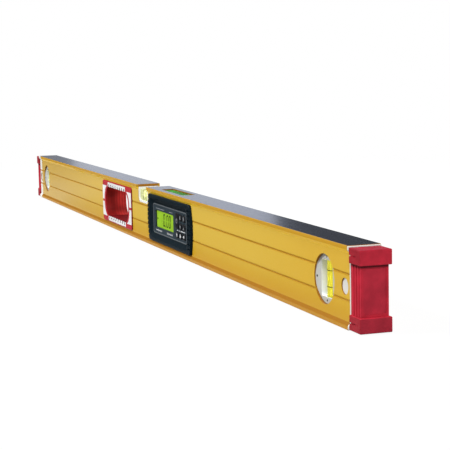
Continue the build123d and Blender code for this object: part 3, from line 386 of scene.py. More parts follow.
# Painted light: the wells are bright, bluish white where they lie in shade; painted shade darkens the pin
# holes.
dished = moulded("dished plastic", rgb(226, 233, 254), 0.45, 1200.0, 0.03, 0.03, 0.3,
                 ((dish, rgb(178, 179, 174)), (pin_holes, rgb(46, 46, 44))))
# Painted shade: the pale strips turn dark red where they lie in the tunnel.
notch_shaded = moulded("notched white plastic", WHITE, 0.40, 1200.0, 0.03, 0.03, 0.3, ((tunnel, NOTCH_SHADOW_RED),))
print("moulded finishes:", len(finishes) + 2)

# %% [markdown]
# ## Powder coat
#
# The profile is one extrusion under a yellow powder coat. Its faint clouds are the coat's own tone, and
# much of the rest is painted light and shade. It is painted deeper low down, as shade, and is deeper at
# the right end. It is painted paler and duller towards the left end, as a haze of light, and a pale band
# there is a painted highlight. Painted light brightens it under the upper lip. It is browner on the lips,
# and painted shade makes it browner on the slope over the lower lip and inside the holes, and lies in and
# beside the grooves. All of this is a stack of accents again, by place along the level and by height.

# %% Colours of the coat
profile_low, profile_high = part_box("profile")
profile_middle = profile_high.z / 2
WEB_FACE, SLOPE_END, LIP_START, HIGHLIGHT_BAND_END = 12.0 * MM, 5.8 * MM, 28.8 * MM, -574.5 * MM
GROOVE_RISE, GROOVE_SHADE_START, GROOVE_SHADE_END, GROOVE_SHADE_STRENGTH = 10.0 * MM, 0.8 * MM, 1.4 * MM, 0.8
LOW_END, HIGH_START = 8.0 * MM, 26.0 * MM
RIGHT_START, RIGHT_END = 380.0 * MM, 520.0 * MM
LEFT_START, LEFT_END = -100.0 * MM, -450.0 * MM
LOW_YELLOW, HIGH_YELLOW = rgb(189, 143, 2), rgb(207, 174, 69)
LOW_RIGHT_YELLOW, HIGH_RIGHT_YELLOW = rgb(184, 136, 2), rgb(205, 166, 58)
UPPER_LIP, LOWER_LIP = profile_middle + LIP_START, profile_middle - LIP_START
UPPER_SLOPE = profile_high.z - SLOPE_END
SOFT = 3 * EDGE
CLOUD_BLOTS, CLOUD_STRETCH, CLOUD_SHADE = 9.0, (0.3, 1, 1), 0.4


def coat_clouds(tree):
    """A mask of faint clouds, drawn out along the level."""
    return mapped(tree, object_noise(tree, CLOUD_BLOTS, CLOUD_STRETCH, 3.0), 0, CLOUD_SHADE)


def groove_shade(tree):
    """A mask of painted shade in the two grooves and on their edges."""
    rise = maths(tree, "ABSOLUTE", maths(tree, "SUBTRACT", coordinate(tree, UPWARD), profile_middle))
    off_groove = maths(tree, "ABSOLUTE", maths(tree, "SUBTRACT", rise, GROOVE_RISE))
    return mapped(tree, off_groove, GROOVE_SHADE_STRENGTH, 0, GROOVE_SHADE_START, GROOVE_SHADE_END)


# Painted haze at the left, shade on the lower slope, light under the upper lip, a highlight band, shade in
# holes and grooves.
coat_accents = (
    (coat_clouds, rgb(198, 158, 44)),
    (after(ALONG, LEFT_START, LEFT_END), rgb(190, 157, 75)),
    (after(UPWARD, SLOPE_END + SOFT, SLOPE_END - SOFT), rgb(148, 99, 15)),
    (after(UPWARD, UPPER_SLOPE - SOFT, UPPER_SLOPE + SOFT), rgb(247, 203, 45)),
    (after(UPWARD, UPPER_LIP - SOFT, UPPER_LIP + SOFT), rgb(185, 139, 32)),
    (after(UPWARD, LOWER_LIP + SOFT, LOWER_LIP - SOFT), rgb(176, 124, 8)),
    (after(ALONG, HIGHLIGHT_BAND_END + 5 * EDGE, HIGHLIGHT_BAND_END - 5 * EDGE), rgb(218, 218, 213)),
    (beyond(ACROSS, WEB_FACE - EDGE, WEB_FACE - 3 * EDGE), rgb(150, 100, 30)),
    (groove_shade, rgb(172, 127, 18)),
)


def coat_colour(tree):
    """The coat's yellow, painted darker low down as shade and deeper at the right end, under its accents."""
    raised = after(UPWARD, LOW_END, HIGH_START)(tree)
    yellow = mix_colours(tree, raised, LOW_YELLOW, HIGH_YELLOW)
    right_yellow = mix_colours(tree, raised, LOW_RIGHT_YELLOW, HIGH_RIGHT_YELLOW)
    coat = mix_colours(tree, after(ALONG, RIGHT_START, RIGHT_END)(tree), yellow, right_yellow)
    return layered(tree, coat, coat_accents)


print("profile from", tuple(profile_low), "to", tuple(profile_high), "with", len(coat_accents), "accents")

# %% [markdown]
# ## Milled faces
#
# After coating, the two measuring faces are milled, so they are bare aluminium with fine cutter lines along
# the level, while the coat has a faint orange peel. The two could be two materials on split faces. Here one
# material tells them apart by place, because the milled faces lie exactly at the top and the bottom of the
# profile.

# %% The profile's finish
MILL_EDGE = 0.04 * MM
CUTTER_LINES, CUTTER_STRETCH, PEEL_BLOTS = 2600.0, (0.006, 1, 1), 650.0
COAT_GLOSS, COAT_TINT = 0.16, (0.62, 0.65, 0.74, 1)
COAT_ROUGH, MILLED_ROUGH = (0.36, 0.46), (0.18, 0.24)
MILLED_DARK, MILLED_PALE = rgb(110, 118, 134), rgb(129, 137, 154)
RELIEF_STRENGTH, RELIEF_DEPTH = 0.35, 0.05 * MM


def coated_profile():
    """Yellow powder coat, bare where the profile was milled."""
    material, tree, shader = new_finish("powder coat and milled faces", Specular_IOR_Level=COAT_GLOSS,
                                        Specular_Tint=COAT_TINT)
    tall = coordinate(tree, UPWARD)
    top = maths(tree, "GREATER_THAN", tall, profile_high.z - MILL_EDGE)
    bottom = maths(tree, "LESS_THAN", tall, profile_low.z + MILL_EDGE)
    bare = maths(tree, "MAXIMUM", top, bottom)
    cutter = object_noise(tree, CUTTER_LINES, CUTTER_STRETCH)
    metal = mix_colours(tree, mapped(tree, cutter, 0, 1), MILLED_DARK, MILLED_PALE)
    tree.links.new(mix_colours(tree, bare, coat_colour(tree), metal), shader.inputs["Base Color"])
    tree.links.new(bare, shader.inputs["Metallic"])
    peel = object_noise(tree, PEEL_BLOTS)
    rough = mix_numbers(tree, bare, mapped(tree, peel, *COAT_ROUGH), mapped(tree, cutter, *MILLED_ROUGH))
    tree.links.new(rough, shader.inputs["Roughness"])
    bump(tree, shader, mix_numbers(tree, bare, peel, cutter), RELIEF_STRENGTH, RELIEF_DEPTH)
    return material


finishes["yellow_coat"] = coated_profile()
print("milled within", round(MILL_EDGE / MM, 2), "mm of the top and the bottom")

# %% [markdown]
# ## Steel
#
# The screws, the battery contacts and the can of the tilt sensor are bright steel. Drawn or rolled steel
# has fine lines, so the grain is stretched upright, and it shifts the colour and the roughness together.
# The pieces are small, so one stretch serves all of them.

# %% Bright steel
STEEL_LINES, STEEL_STRETCH, STEEL_DARK = 2500.0, (1, 1, 0.15), 0.8
STEEL_ROUGH, STEEL_STRENGTH, STEEL_DEPTH = (0.24, 0.40), 0.3, 0.03 * MM


def bright_metal(name, colour):
    """Steel with a fine drawn grain."""
    material, tree, shader = new_finish(name, Metallic=1.0)
    grain = object_noise(tree, STEEL_LINES, STEEL_STRETCH)
    shade = mix_colours(tree, mapped(tree, grain, 0, 1), scaled(colour, STEEL_DARK), colour)
    tree.links.new(shade, shader.inputs["Base Color"])
    tree.links.new(mapped(tree, grain, *STEEL_ROUGH), shader.inputs["Roughness"])
    bump(tree, shader, grain, STEEL_STRENGTH, STEEL_DEPTH)
    return material


finishes["bright_steel"] = bright_metal("bright steel", rgb(196, 196, 198))
print("steel roughness from", STEEL_ROUGH[0], "to", STEEL_ROUGH[1])

# %% [markdown]
# ## Vials, bubbles and lenses
#
# A vial is a clear acrylic body full of dyed liquid. The dye glows in daylight, so the vial looks brighter
# than its surroundings, and the acrylic spreads the colour over its whole width. A tinted, partly clear
# shader with a little painted light of its own gives that glow, and the bubble still shows through it. The
# lenses are thin clear plates, which are easiest as a nearly transparent surface: light goes straight through
# to the display behind. The lens in the top edge is seen at a flat angle, where a glossy one would hide its
# number behind the sky's mirror image, so it is matt.

# %% Clear finishes
TINT_BLOTS, TINT_DARK, TINT_ROUGH = 60.0, 0.92, 0.03
SMOKE, LENS_SHARE = rgb(30, 36, 32), 0.06
ACRYLIC = {"Transmission_Weight": 0.7, "IOR": 1.12}


def clear(name, colour, rough, **constants):
    """A see-through finish whose tint drifts a little."""
    material, tree, shader = new_finish(name, **constants)
    faint = object_noise(tree, TINT_BLOTS)
    shade = mix_colours(tree, mapped(tree, faint, 0, 1), scaled(colour, TINT_DARK), colour)
    tree.links.new(shade, shader.inputs["Base Color"])
    tree.links.new(mapped(tree, faint, rough, rough + TINT_ROUGH), shader.inputs["Roughness"])
    return material


# The vials' emission is painted light, for the glow of the dye.
finishes["vial_acrylic"] = clear("vial acrylic", rgb(236, 228, 98), 0.08, **ACRYLIC,
                                 Emission_Color=rgb(230, 222, 44), Emission_Strength=0.16)
pale_vial = clear("pale vial acrylic", rgb(246, 248, 204), 0.08, **ACRYLIC,
                  Emission_Color=rgb(236, 240, 144), Emission_Strength=0.18)
finishes["bubble_clear"] = clear("bubble", rgb(96, 132, 30), 0.05, Transmission_Weight=0.15, IOR=1.1)
finishes["lens_clear"] = clear("display lens", SMOKE, 0.05, Alpha=LENS_SHARE, Specular_IOR_Level=0.3)
matt_lens = clear("top display lens", SMOKE, 0.3, Alpha=LENS_SHARE, Specular_IOR_Level=0.02)
print("clear finishes done;", len(finishes), "slots filled")

# %% [markdown]
# ## Displays
#
# A back-lit display is a matt green sheet with a light guide behind it, so it glows a little and not quite
# evenly. The green comes from the lamps and from the sheet's own light together, and the display in the top
# edge is a deeper green than the one in the front.

# %% Green displays
GLOW_BLOTS, GLOW_DARK, GLOW_PALE = 45.0, 0.72, 0.95
DISPLAY_ROUGH, DISPLAY_GLOSS = (0.4, 0.5), 0.02


def lit_display(name, colour, light):
    """The green of a back-lit display, a little uneven from its light guide."""
    material, tree, shader = new_finish(name, Specular_IOR_Level=DISPLAY_GLOSS, Emission_Color=colour,
                                        Emission_Strength=light)
    glow = object_noise(tree, GLOW_BLOTS)
    shade = mix_colours(tree, mapped(tree, glow, 0, 1), scaled(colour, GLOW_DARK), scaled(colour, GLOW_PALE))
    tree.links.new(shade, shader.inputs["Base Color"])
    tree.links.new(mapped(tree, glow, *DISPLAY_ROUGH), shader.inputs["Roughness"])
    return material


finishes["display_green"] = lit_display("display green", rgb(146, 190, 46), 0.42)
top_green = lit_display("top display green", rgb(62, 143, 42), 0.2)
print("slots filled:", len(finishes))

# %% [markdown]
# ## Finishes on the frame
#
# The record says which slot each node takes its finish from, so the finishes go on by that table. Some
# nodes get a shade of their own: the level vial is paler than the plumb vials, the display in the top edge
# has its deeper green under a matt lens, the plumb holders have their dished faces with painted light in
# their wells, and the grip's strips their painted notch shade.

# %% Give each node its finish
own_shade = {"level_vial": pale_vial, "top_display": top_green, "top_display_lens": matt_lens,
             "plumb_vial_holder_left": dished, "plumb_vial_holder_right": dished,
             "grip_inlays_front": notch_shaded, "grip_inlays_rear": notch_shaded}
for part in frame["record"]["subparts"]:
    mesh = nodes[part["node"]].data
    mesh.materials.clear()
    mesh.materials.append(own_shade.get(part["node"], finishes[part["material_slot"]]))

# %% [markdown]
# ## From a bmesh to a piece
#
# Numbers on the displays and prints on the keys are thin flat solids. They are drawn lying in the XY plane,
# where they are easy to read, and turned to face the front at the end. The turn goes into the mesh and not
# on the object, so the object stays at the origin and rides on its body as the frame's own nodes do.

# %% Helpers that place a piece
MARK_DEPTH = 0.06 * MM


def new_piece(name, bm, finish, body="level_body"):
    """Makes a bmesh an object that rides on a body and wears the given finish."""
    bmesh.ops.recalc_face_normals(bm, faces=bm.faces)
    mesh = bpy.data.meshes.new(name)
    bm.to_mesh(mesh)
    bm.free()
    mesh.materials.append(finish)
    piece = bpy.data.objects.new(name, mesh)
    bpy.context.scene.collection.objects.link(piece)
    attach(piece, body)
    return piece


def on_front(bm, x, z, y):
    """Turns marks that were drawn flat to face the front, and puts them just before the plane y."""
    place = Matrix.Translation((x, y - MARK_DEPTH / 2, z)) @ Matrix.Rotation(math.radians(90), 4, "X")
    bmesh.ops.transform(bm, matrix=place, verts=bm.verts)


def print_on(name, bm, x, z, y, finish, body="level_body"):
    """Puts a print that was drawn in millimetres on the front of a piece."""
    bmesh.ops.transform(bm, matrix=Matrix.Diagonal((MM, MM, 1, 1)), verts=bm.verts)
    on_front(bm, x, z, y)
    return new_piece(name, bm, finish, body)


mark_dark = moulded("dark segments", rgb(10, 16, 8), 0.5, 1500.0, 0.01, 0.2, 0.05)
mark_light = moulded("pale print", rgb(226, 228, 230), 0.5, 1500.0, 0.01, 0.05, 0.1)
mark_faint = moulded("faint print", rgb(150, 153, 158), 0.5, 1500.0, 0.01, 0.05, 0.1)
print("marks are", round(MARK_DEPTH / MM, 2), "mm thick")

# %% [markdown]
# ## Bars, rings and outlines
#
# A few flat shapes make every mark. A bar is a stretched cube, a ring is a short edge spun round a centre,
# and any other outline is one face. Rings and outlines get their depth from one extrusion.

# %% Helpers for flat marks
POINT_SHARE = 0.48


def add_bar(bm, centre, width, tall, pointed=False, turn=0.0):
    """A flat bar; a pointed one has its upright edges bevelled until the two ends come to a point."""
    shape = Matrix.Translation((*centre, 0)) @ Matrix.Rotation(math.radians(turn), 4, "Z")
    shape = shape @ Matrix.Diagonal((width, tall, MARK_DEPTH, 1))
    made = bmesh.ops.create_cube(bm, size=1.0, matrix=shape)["verts"]
    if pointed:
        upright = [e for e in {e for v in made for e in v.link_edges}
                   if abs(e.verts[0].co.z - e.verts[1].co.z) > MARK_DEPTH / 2]
        bmesh.ops.bevel(bm, geom=upright, offset=min(width, tall) * POINT_SHARE, offset_type="OFFSET",
                        affect="EDGES", segments=1, profile=0.5, material=-1)


def add_raised(bm, flat):
    """Gives the flat faces of a small bmesh the depth of a mark and merges it into bm."""
    raised = bmesh.ops.extrude_face_region(flat, geom=flat.faces[:], use_keep_orig=True)["geom"]
    lifted = [v for v in raised if isinstance(v, bmesh.types.BMVert)]
    bmesh.ops.translate(flat, verts=lifted, vec=(0, 0, MARK_DEPTH))
    bmesh.ops.translate(flat, verts=flat.verts, vec=(0, 0, -MARK_DEPTH / 2))
    carrier = bpy.data.meshes.new("mark")
    flat.to_mesh(carrier)
    flat.free()
    bm.from_mesh(carrier)
    bpy.data.meshes.remove(carrier)


def add_arc(bm, centre, radius, stroke, start=0.0, sweep=360.0, steps=24):
    """A flat ring or arc: a short edge spun round the centre."""
    flat = bmesh.new()
    turn, middle = Matrix.Rotation(math.radians(start), 4, "Z"), Vector((*centre, 0))
    reaches = (radius - stroke / 2, radius + stroke / 2)
    ends = [flat.verts.new(middle + turn @ Vector((reach, 0, 0))) for reach in reaches]
    edge = flat.edges.new(ends)
    bmesh.ops.spin(flat, geom=[*ends, edge], cent=middle, axis=(0, 0, 1), angle=math.radians(sweep),
                   steps=steps, use_merge=sweep >= 360.0)
    add_raised(bm, flat)


def add_outline(bm, corners):
    """A flat mark with the given corners."""
    flat = bmesh.new()
    flat.faces.new([flat.verts.new((*corner, 0)) for corner in corners])
    add_raised(bm, flat)


def add_disc(bm, centre, radius, steps=20):
    """A flat round dot."""
    flat = bmesh.new()
    bmesh.ops.create_circle(flat, cap_ends=True, segments=steps, radius=radius,
                            matrix=Matrix.Translation((*centre, 0)))
    add_raised(bm, flat)


print("a pointed bar is bevelled by", POINT_SHARE, "of its width")

# %% [markdown]
# ## Teeth on the grip's strips
#
# The pale strips above and below the hand hole end in teeth, which stand between the round flutes of the
# rubber pads behind them. A tooth's two sides follow the flutes' circles, so its half width is worked out
# from the circle at a few levels between the edge of the hole and the strip. Over each flute, a dark half
# round is a painted shadow for the shade deep in the flute, and it reaches into the strip.

# %% Draw the teeth and the painted notch shadows
FLUTE_PITCH, FLUTE_RADIUS, FLUTE_COUNT = 10.5 * MM, 2.4 * MM, 8
HOLE_EDGE, TOOTH_HEIGHT, TOOTH_STEPS = 18.5 * MM, 1.6 * MM, 4
NOTCH_SHADOW_HEIGHT, NOTCH_SHADOW_STEPS = 1.6 * MM, 8


def draw_teeth():
    """The teeth over and under the hand hole, drawn round its middle."""
    bm = bmesh.new()
    levels = [TOOTH_HEIGHT * step / TOOTH_STEPS for step in range(TOOTH_STEPS + 1)]
    halves = [FLUTE_PITCH / 2 - math.sqrt(FLUTE_RADIUS ** 2 - level ** 2) for level in levels]
    end = FLUTE_PITCH * FLUTE_COUNT / 2
    for index in range(FLUTE_COUNT + 1):
        middle = FLUTE_PITCH * index - end
        left = [(max(-end, middle - half), HOLE_EDGE + level) for half, level in zip(halves, levels)]
        right = [(min(end, middle + half), HOLE_EDGE + level) for half, level in zip(halves, levels)]
        for side in (1, -1):
            add_outline(bm, [(x, side * z) for x, z in left + right[::-1]])
    return bm


def draw_notch_shadows():
    """Painted shadows for the flutes: dark half rounds that reach into the strips."""
    bm = bmesh.new()
    half, foot = math.sqrt(FLUTE_RADIUS ** 2 - TOOTH_HEIGHT ** 2), HOLE_EDGE + TOOTH_HEIGHT
    turns = [math.pi * step / NOTCH_SHADOW_STEPS for step in range(NOTCH_SHADOW_STEPS + 1)]
    for index in range(FLUTE_COUNT):
        middle = FLUTE_PITCH * (index + 0.5 - FLUTE_COUNT / 2)
        half_round = [(middle + half * math.cos(turn), foot + NOTCH_SHADOW_HEIGHT * math.sin(turn)) for turn in turns]
        for side in (1, -1):
            add_outline(bm, [(x, side * z) for x, z in half_round])
    return bm


print("flutes:", FLUTE_COUNT, "over and under the hole,", round(FLUTE_PITCH / MM, 1), "mm apart")

# %% [markdown]
# ## Teeth and painted notch shadows on both faces
#
# The grip looks alike in front and behind, so teeth and painted notch shadows are drawn once for each
# face. The teeth lie on the face of the shell and the painted shadows on the strips. At the rear they
# stand on the other side of their plane.

# %% Put the teeth and the painted notch shadows on the grip
notch_shadow_finish = moulded("dark red notch_shadows", NOTCH_SHADOW_RED, 0.6, 900.0, 0.03, 0.15, 0.05)
grip_x, grip_z = (grip_low.x + grip_high.x) / 2, (grip_low.z + grip_high.z) / 2
strip_face = -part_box("grip_inlays_front")[0].y
for hand, side in (("front", -1), ("rear", 1)):
    behind = MARK_DEPTH if side > 0 else 0.0
    for label, bm, face, finish, slot in (
            ("grip_teeth_", draw_teeth(), grip_face, finishes["white_plastic"], "white_plastic"),
            ("grip_notch_shadows_", draw_notch_shadows(), strip_face, notch_shadow_finish, "grip_rubber")):
        on_front(bm, grip_x, grip_z, side * face + behind)
        new_piece(label + hand, bm, finish)
print("teeth on", 2 * (FLUTE_COUNT + 1), "and notch_shadows on", 2 * FLUTE_COUNT, "places of each face")

# %% [markdown]
# ## Numbers on the displays
#
# A seven-segment display shows its number as dark bars. A zero is six of them, with pointed ends. The
# digits lean a little, which is one shear for the whole number. The same number is drawn on the display in
# the front and on the one in the top edge, each with its own size.

# %% Draw the number on both displays
SEGMENTS_OF_ZERO = ((0, 1), (0, -1), (1, 0.5), (1, -0.5), (-1, 0.5), (-1, -0.5))
DIGIT_LEAN = math.tan(math.radians(6))
DIGIT_CENTRES = [x * MM for x in (-6.1, 6.2, 15.6)]
POINT_PLACE = -0.2 * MM
END_BARS = [x * MM for x in (-30.4, 30.2)]
END_BAR_LENGTH = 4.0 * MM
FRONT_DIGIT = [size * MM for size in (5.4, 12.4, 1.5)]
TOP_DIGIT = [size * MM for size in (5.2, 9.0, 1.7)]
UPRIGHT_GAP, FLAT_GAP, POINT_SIZE, END_BAR_STROKE = 0.15, 0.25, 1.2, 0.9


def draw_number(wide, tall, stroke):
    """The number 0.00 with a short bar at each end of the view; gaps and sizes are shares of the stroke."""
    bm = bmesh.new()
    for middle in DIGIT_CENTRES:
        for side, level in SEGMENTS_OF_ZERO:
            centre = (middle + side * wide / 2, level * tall / 2)
            if side:
                add_bar(bm, centre, stroke, tall / 2 - stroke * UPRIGHT_GAP, True)
            else:
                add_bar(bm, centre, wide - stroke * FLAT_GAP, stroke, True)
    add_bar(bm, (POINT_PLACE, -tall / 2), stroke * POINT_SIZE, stroke * POINT_SIZE)
    lean = Matrix.Identity(4)
    lean[0][1] = DIGIT_LEAN
    bmesh.ops.transform(bm, matrix=lean, verts=bm.verts)
    for x in END_BARS:
        add_bar(bm, (x, 0), END_BAR_LENGTH, stroke * END_BAR_STROKE)
    return bm


lens_low, lens_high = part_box("display_lens")
lens_middle = (lens_low + lens_high) / 2
front_number = draw_number(*FRONT_DIGIT)
on_front(front_number, lens_middle.x, lens_middle.z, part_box("display")[0].y)
front_marks = new_piece("display_number", front_number, mark_dark)

top_low, top_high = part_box("top_display")
top_middle = (top_low + top_high) / 2
top_number = draw_number(*TOP_DIGIT)
top_place = Vector((top_middle.x, top_middle.y, top_high.z + MARK_DEPTH / 2))
bmesh.ops.translate(top_number, verts=top_number.verts, vec=top_place)
top_marks = new_piece("top_display_number", top_number, mark_dark)
print("numbers drawn:", len(front_marks.data.polygons) + len(top_marks.data.polygons), "faces")

# %% [markdown]
# ## Signs for the keys
#
# Each key carries a plain sign: a broken ring with a bar for power, rays for the light, a padlock, a
# loudspeaker and so on. They are drawn round the key's middle in millimetres, from the bars, rings and
# outlines above.

# %% Draw the signs
STROKE, THIN_STROKE = 0.55, 0.45


def sign_power(bm):
    """A ring that is open at the top, with a bar in the gap."""
    add_arc(bm, (0, 0), 2.3, STROKE, 125, 290)
    add_bar(bm, (0, 1.5), STROKE, 2.6)


def sign_light(bm):
    """A dot with eight rays."""
    add_disc(bm, (0, 0), 1.05)
    for turn in range(0, 360, 45):
        angle = math.radians(turn)
        add_bar(bm, (2.0 * math.cos(angle), 2.0 * math.sin(angle)), 0.9, THIN_STROKE, turn=turn)


def sign_mode(bm):
    """Three bars over each other."""
    for level in (-1.2, 0, 1.2):
        add_bar(bm, (0, level), 4.4, STROKE)


def sign_hold(bm):
    """Two upright bars."""
    for side in (-1, 1):
        add_bar(bm, (side * 0.95, 0), 0.9, 3.0)


def sign_lock(bm):
    """A padlock."""
    add_bar(bm, (0, -0.8), 3.4, 2.3)
    add_arc(bm, (0, 0.35), 1.15, STROKE, 0, 180, 12)


def sign_calibrate(bm):
    """A ring with a dot."""
    add_arc(bm, (0, 0), 1.7, STROKE)
    add_disc(bm, (0, 0), 0.6)


def sign_reference(bm):
    """An angle: a flat leg and a raised one."""
    add_outline(bm, ((-2.15, -1.58), (2.2, -1.58), (2.2, -1.03), (-0.55, -1.03), (1.34, 0.45), (1.0, 0.89)))


def sign_sound(bm):
    """A loudspeaker with two waves."""
    add_outline(bm, ((-2.2, -0.6), (-1.3, -0.6), (-0.1, -1.7), (-0.1, 1.7), (-1.3, 0.6), (-2.2, 0.6)))
    for radius in (1.1, 2.1):
        add_arc(bm, (0, 0), radius, THIN_STROKE, -42, 84, 10)


key_signs = {"key_power": sign_power, "key_light": sign_light, "key_mode": sign_mode, "key_hold": sign_hold,
             "key_lock": sign_lock, "key_calibrate": sign_calibrate, "key_reference": sign_reference,
             "key_sound": sign_sound}
print("signs to draw:", ", ".join(key_signs))

# %% [markdown]
# ## Signs on the keys
#
# A sign moves with its key, so each is a piece of its own that rides on that key's body and lies on its
# crown. The lower row is printed brighter than the rest.

# %% Put the signs on the keys
LOWER_KEYS = ("key_light", "key_lock", "key_sound")
for key, draw in key_signs.items():
    key_low, key_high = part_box(key)
    key_middle = (key_low + key_high) / 2
    bm = bmesh.new()
    draw(bm)
    print_on(key + "_sign", bm, key_middle.x, key_middle.z, key_low.y,
             mark_light if key in LOWER_KEYS else mark_faint, key)
print("signs drawn:", len(key_signs))

# %% [markdown]
# ## Print on the panel
#
# A pale line with a small triangle runs between the two lower rows of keys. Rows of scale ticks stand under
# the display, with each fifth one longer, and thin stripes lie over it. All of it is drawn in millimetres
# round the middle of the panel, at the height of the display.

# %% Draw the panel's print
KEY_RISE = 0.9 * MM
LINE_LEVEL, LINE_STROKE, LINE_SPANS = -4.7, 0.7, ((28.9, 4.2), (47.5, 15.2))
TRIANGLE = ((33.2, -5.5), (35.6, -5.5), (34.4, -3.6))
TICK_ROWS, TICK_PITCH, TICK_FOOT, TICK_STROKE = ((-52.0, 17), (-10.4, 16)), 1.3, -13.3, 0.45
LONG_TICK, SHORT_TICK, LONG_EVERY = 2.2, 1.4, 5
STRIPE_LEVEL, STRIPE_STROKE, STRIPE_SPANS = 11.6, 0.5, ((-36.6, 31.0), (4.6, 13.0))
panel_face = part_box("key_power")[0].y + KEY_RISE
panel_x = (panel_low.x + panel_high.x) / 2

panel_print = bmesh.new()
for centre, length in LINE_SPANS:
    add_bar(panel_print, (centre, LINE_LEVEL), length, LINE_STROKE)
add_outline(panel_print, TRIANGLE)
for first, count in TICK_ROWS:
    for tick in range(count):
        tall = SHORT_TICK if tick % LONG_EVERY else LONG_TICK
        add_bar(panel_print, (first + tick * TICK_PITCH, TICK_FOOT + tall / 2), TICK_STROKE, tall)
print_on("panel_print", panel_print, panel_x, lens_middle.z, panel_face, mark_light)

panel_stripes = bmesh.new()
for centre, length in STRIPE_SPANS:
    add_bar(panel_stripes, (centre, STRIPE_LEVEL), length, STRIPE_STROKE)
print_on("panel_stripes", panel_stripes, panel_x, lens_middle.z, panel_face, mark_faint)
print("panel print at y", round(panel_face / MM, 2), "mm")

# %% [markdown]
# ## Studio helpers
#
# The studio is a floor, a sky and a few cards, and none of it is part of the level. A white background
# could come from strong lamps, but these would bleach the level. Instead the floor and the sky are white
# only for rays that show them as they are, and throw a plain level of light on everything else.

# %% Helpers for the studio
WHITE_LIGHT = (1, 1, 1, 1)


def seen_directly(tree):
    """1 for rays that show the background as it is: from the camera, off gloss and through glass."""
    path = add_node(tree, "LightPath").outputs
    seen = maths(tree, "MAXIMUM", path["Is Camera Ray"], path["Is Glossy Ray"])
    return maths(tree, "MAXIMUM", seen, path["Is Transmission Ray"])


def stage_sheet(name, corners, finish):
    """One flat sheet of the studio, which isn't part of the level."""
    bm = bmesh.new()
    bm.faces.new([bm.verts.new(corner) for corner in corners])
    mesh = bpy.data.meshes.new(name)
    bm.to_mesh(mesh)
    bm.free()
    mesh.materials.append(finish)
    sheet = bpy.data.objects.new(name, mesh)
    bpy.context.scene.collection.objects.link(sheet)
    return sheet


print("pieces of the level to light:", len(bpy.data.meshes))

# %% [markdown]
# ## Floor
#
# The level lies on a plain pale floor. It is part lit and part white by itself for the camera, so it reads
# as white paper and still keeps the shadow. Further off it turns fully white, so no horizon shows. The
# light that it throws back onto the level is a good deal weaker, as from grey paper.

# %% Floor
FLOOR_REACH, FLOOR_DROP = 30.0, 0.4 * MM
PAPER_TONE, BOUNCE_TONE = (0.86, 0.86, 0.86, 1), (0.45, 0.45, 0.45, 1)
PAPER_GLOW, WHITE_START, WHITE_END = 0.92, 0.5, 1.3
paper, tree, shader = new_finish("white paper", Roughness=0.9, Specular_IOR_Level=0.0)
onto_level = add_node(tree, "LightPath").outputs["Is Diffuse Ray"]
tree.links.new(mix_colours(tree, onto_level, PAPER_TONE, BOUNCE_TONE), shader.inputs["Base Color"])
glow = add_node(tree, "Emission", {"Color": WHITE_LIGHT, "Strength": 1.0})
distance = add_node(tree, "VectorMath", {0: object_place(tree)}, operation="LENGTH").outputs["Value"]
white_share = mapped(tree, distance, PAPER_GLOW, 1.0, WHITE_START, WHITE_END)
own_light = maths(tree, "MULTIPLY", seen_directly(tree), white_share)
blend = add_node(tree, "MixShader", {0: own_light, 1: shader.outputs[0], 2: glow.outputs[0]})
tree.links.new(blend.outputs[0], tree.nodes["Material Output"].inputs["Surface"])
quarters = ((-1, -1), (1, -1), (1, 1), (-1, 1))
stage_sheet("floor", [(x * FLOOR_REACH, y * FLOOR_REACH, -FLOOR_DROP) for x, y in quarters], paper)
print("floor", 2 * FLOOR_REACH, "m wide")

# %% [markdown]
# ## Sky
#
# The sky is white where it is seen, also in metal and through glass. As a light it has a quarter of that
# strength, which fills the shadows and leaves the rest to the lamps.

# %% Sky
SKY_LIGHT = 0.25
world = bpy.data.worlds.new("studio")
bpy.context.scene.world = world
world.use_nodes = True
tree = world.node_tree
strength = mapped(tree, seen_directly(tree), SKY_LIGHT, 1.0, 0.0, 1.0)
tree.links.new(strength, tree.nodes["Background"].inputs["Strength"])
tree.nodes["Background"].inputs["Color"].default_value = WHITE_LIGHT
print("sky light", SKY_LIGHT)

# %% [markdown]
# ## Cards
#
# Cards are set where only reflections see them, as in a product studio. Two black ones on the floor in
# front keep most of the webs and the module from turning milky. A black and a pale grey one at the left and
# a dark grey one behind give the milled top its darker and lighter stretches.

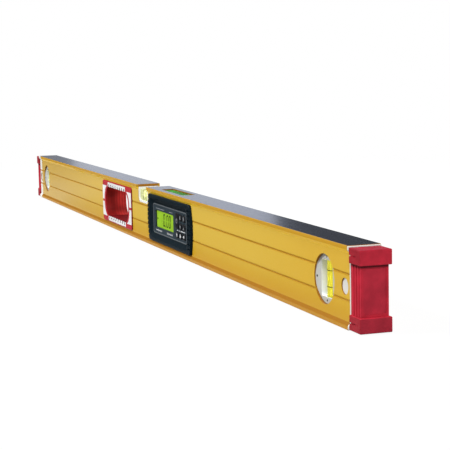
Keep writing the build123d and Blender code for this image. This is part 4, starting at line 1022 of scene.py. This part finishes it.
# %% Cards
BLACK, DARK_GREY, PALE_GREY = 0.03, 0.12, 0.42
cards = {
    "front_card": (BLACK, ((-0.5, -0.03, 0.0), (0.55, -0.03, 0.0), (0.55, -2.0, 0.0), (-0.5, -2.0, 0.0))),
    "left_card": (BLACK, ((-3.0, -0.03, 0.0), (-0.85, -0.03, 0.0), (-0.85, -2.0, 0.0), (-3.0, -2.0, 0.0))),
    "side_card": (BLACK, ((-3.0, -2.0, 0.0), (-3.0, -0.2, 0.0), (-3.0, -0.2, 1.6), (-3.0, -2.0, 1.6))),
    "back_card": (DARK_GREY, ((-2.72, 1.2, 0.0), (-1.5, 1.2, 0.0), (-1.5, 1.2, 2.6), (-2.72, 1.2, 2.6))),
    "pale_card": (PALE_GREY, ((-3.0, -0.2, 0.0), (-3.0, 0.57, 0.0), (-3.0, 0.57, 1.6), (-3.0, -0.2, 1.6))),
}
for name, (shade, corners) in cards.items():
    card_finish = new_finish(name, Base_Color=(0, 0, 0, 1), Specular_IOR_Level=0.0,
                             Emission_Color=WHITE_LIGHT, Emission_Strength=shade)[0]
    card = stage_sheet(name, corners, card_finish)
    card.visible_camera = card.visible_diffuse = card.visible_shadow = card.visible_transmission = False
print("cards set:", len(cards))

# %% [markdown]
# ## Lamps
#
# A soft box far off to the front, the left and above does most of the work. From that far the whole length
# is lit alike, and what faces to the right lies in its shade: the rims of the holes, the sides of the grip
# and the module's right edge. A weaker box on the right opens that shade and lights the end cap's outer
# face, a step darker than the webs, with a shadow under the block on top. A third one behind and to the
# right lights the rear, and some of its light comes through the hand hole onto the rear of the tunnel. It
# shows no mirror image, so the milled top keeps its own reflections.

# %% Soft boxes


def soft_lamp(name, place, target, width, tall, power):
    """A rectangular soft box that looks at the target."""
    lamp = bpy.data.lights.new(name, "AREA")
    lamp.shape, lamp.size, lamp.size_y, lamp.energy = "RECTANGLE", width, tall, power
    holder = bpy.data.objects.new(name, lamp)
    aim = Vector(target) - Vector(place)
    holder.matrix_world = Matrix.Translation(place) @ aim.to_track_quat("-Z", "Y").to_matrix().to_4x4()
    bpy.context.scene.collection.objects.link(holder)
    return holder


level_middle = Vector((0.0, 0.0, 0.03))
soft_lamp("front box", (-1.8, -5.4, 4.8), level_middle, 1.8, 1.3, 550.0)
soft_lamp("right box", (4.8, -1.3, 4.2), level_middle, 1.4, 1.0, 220.0)
rear_box = soft_lamp("rear box", (0.9, 5.2, 2.8), level_middle, 1.8, 1.3, 290.0)
rear_box.visible_glossy = False
print("lamps aimed at", tuple(level_middle))
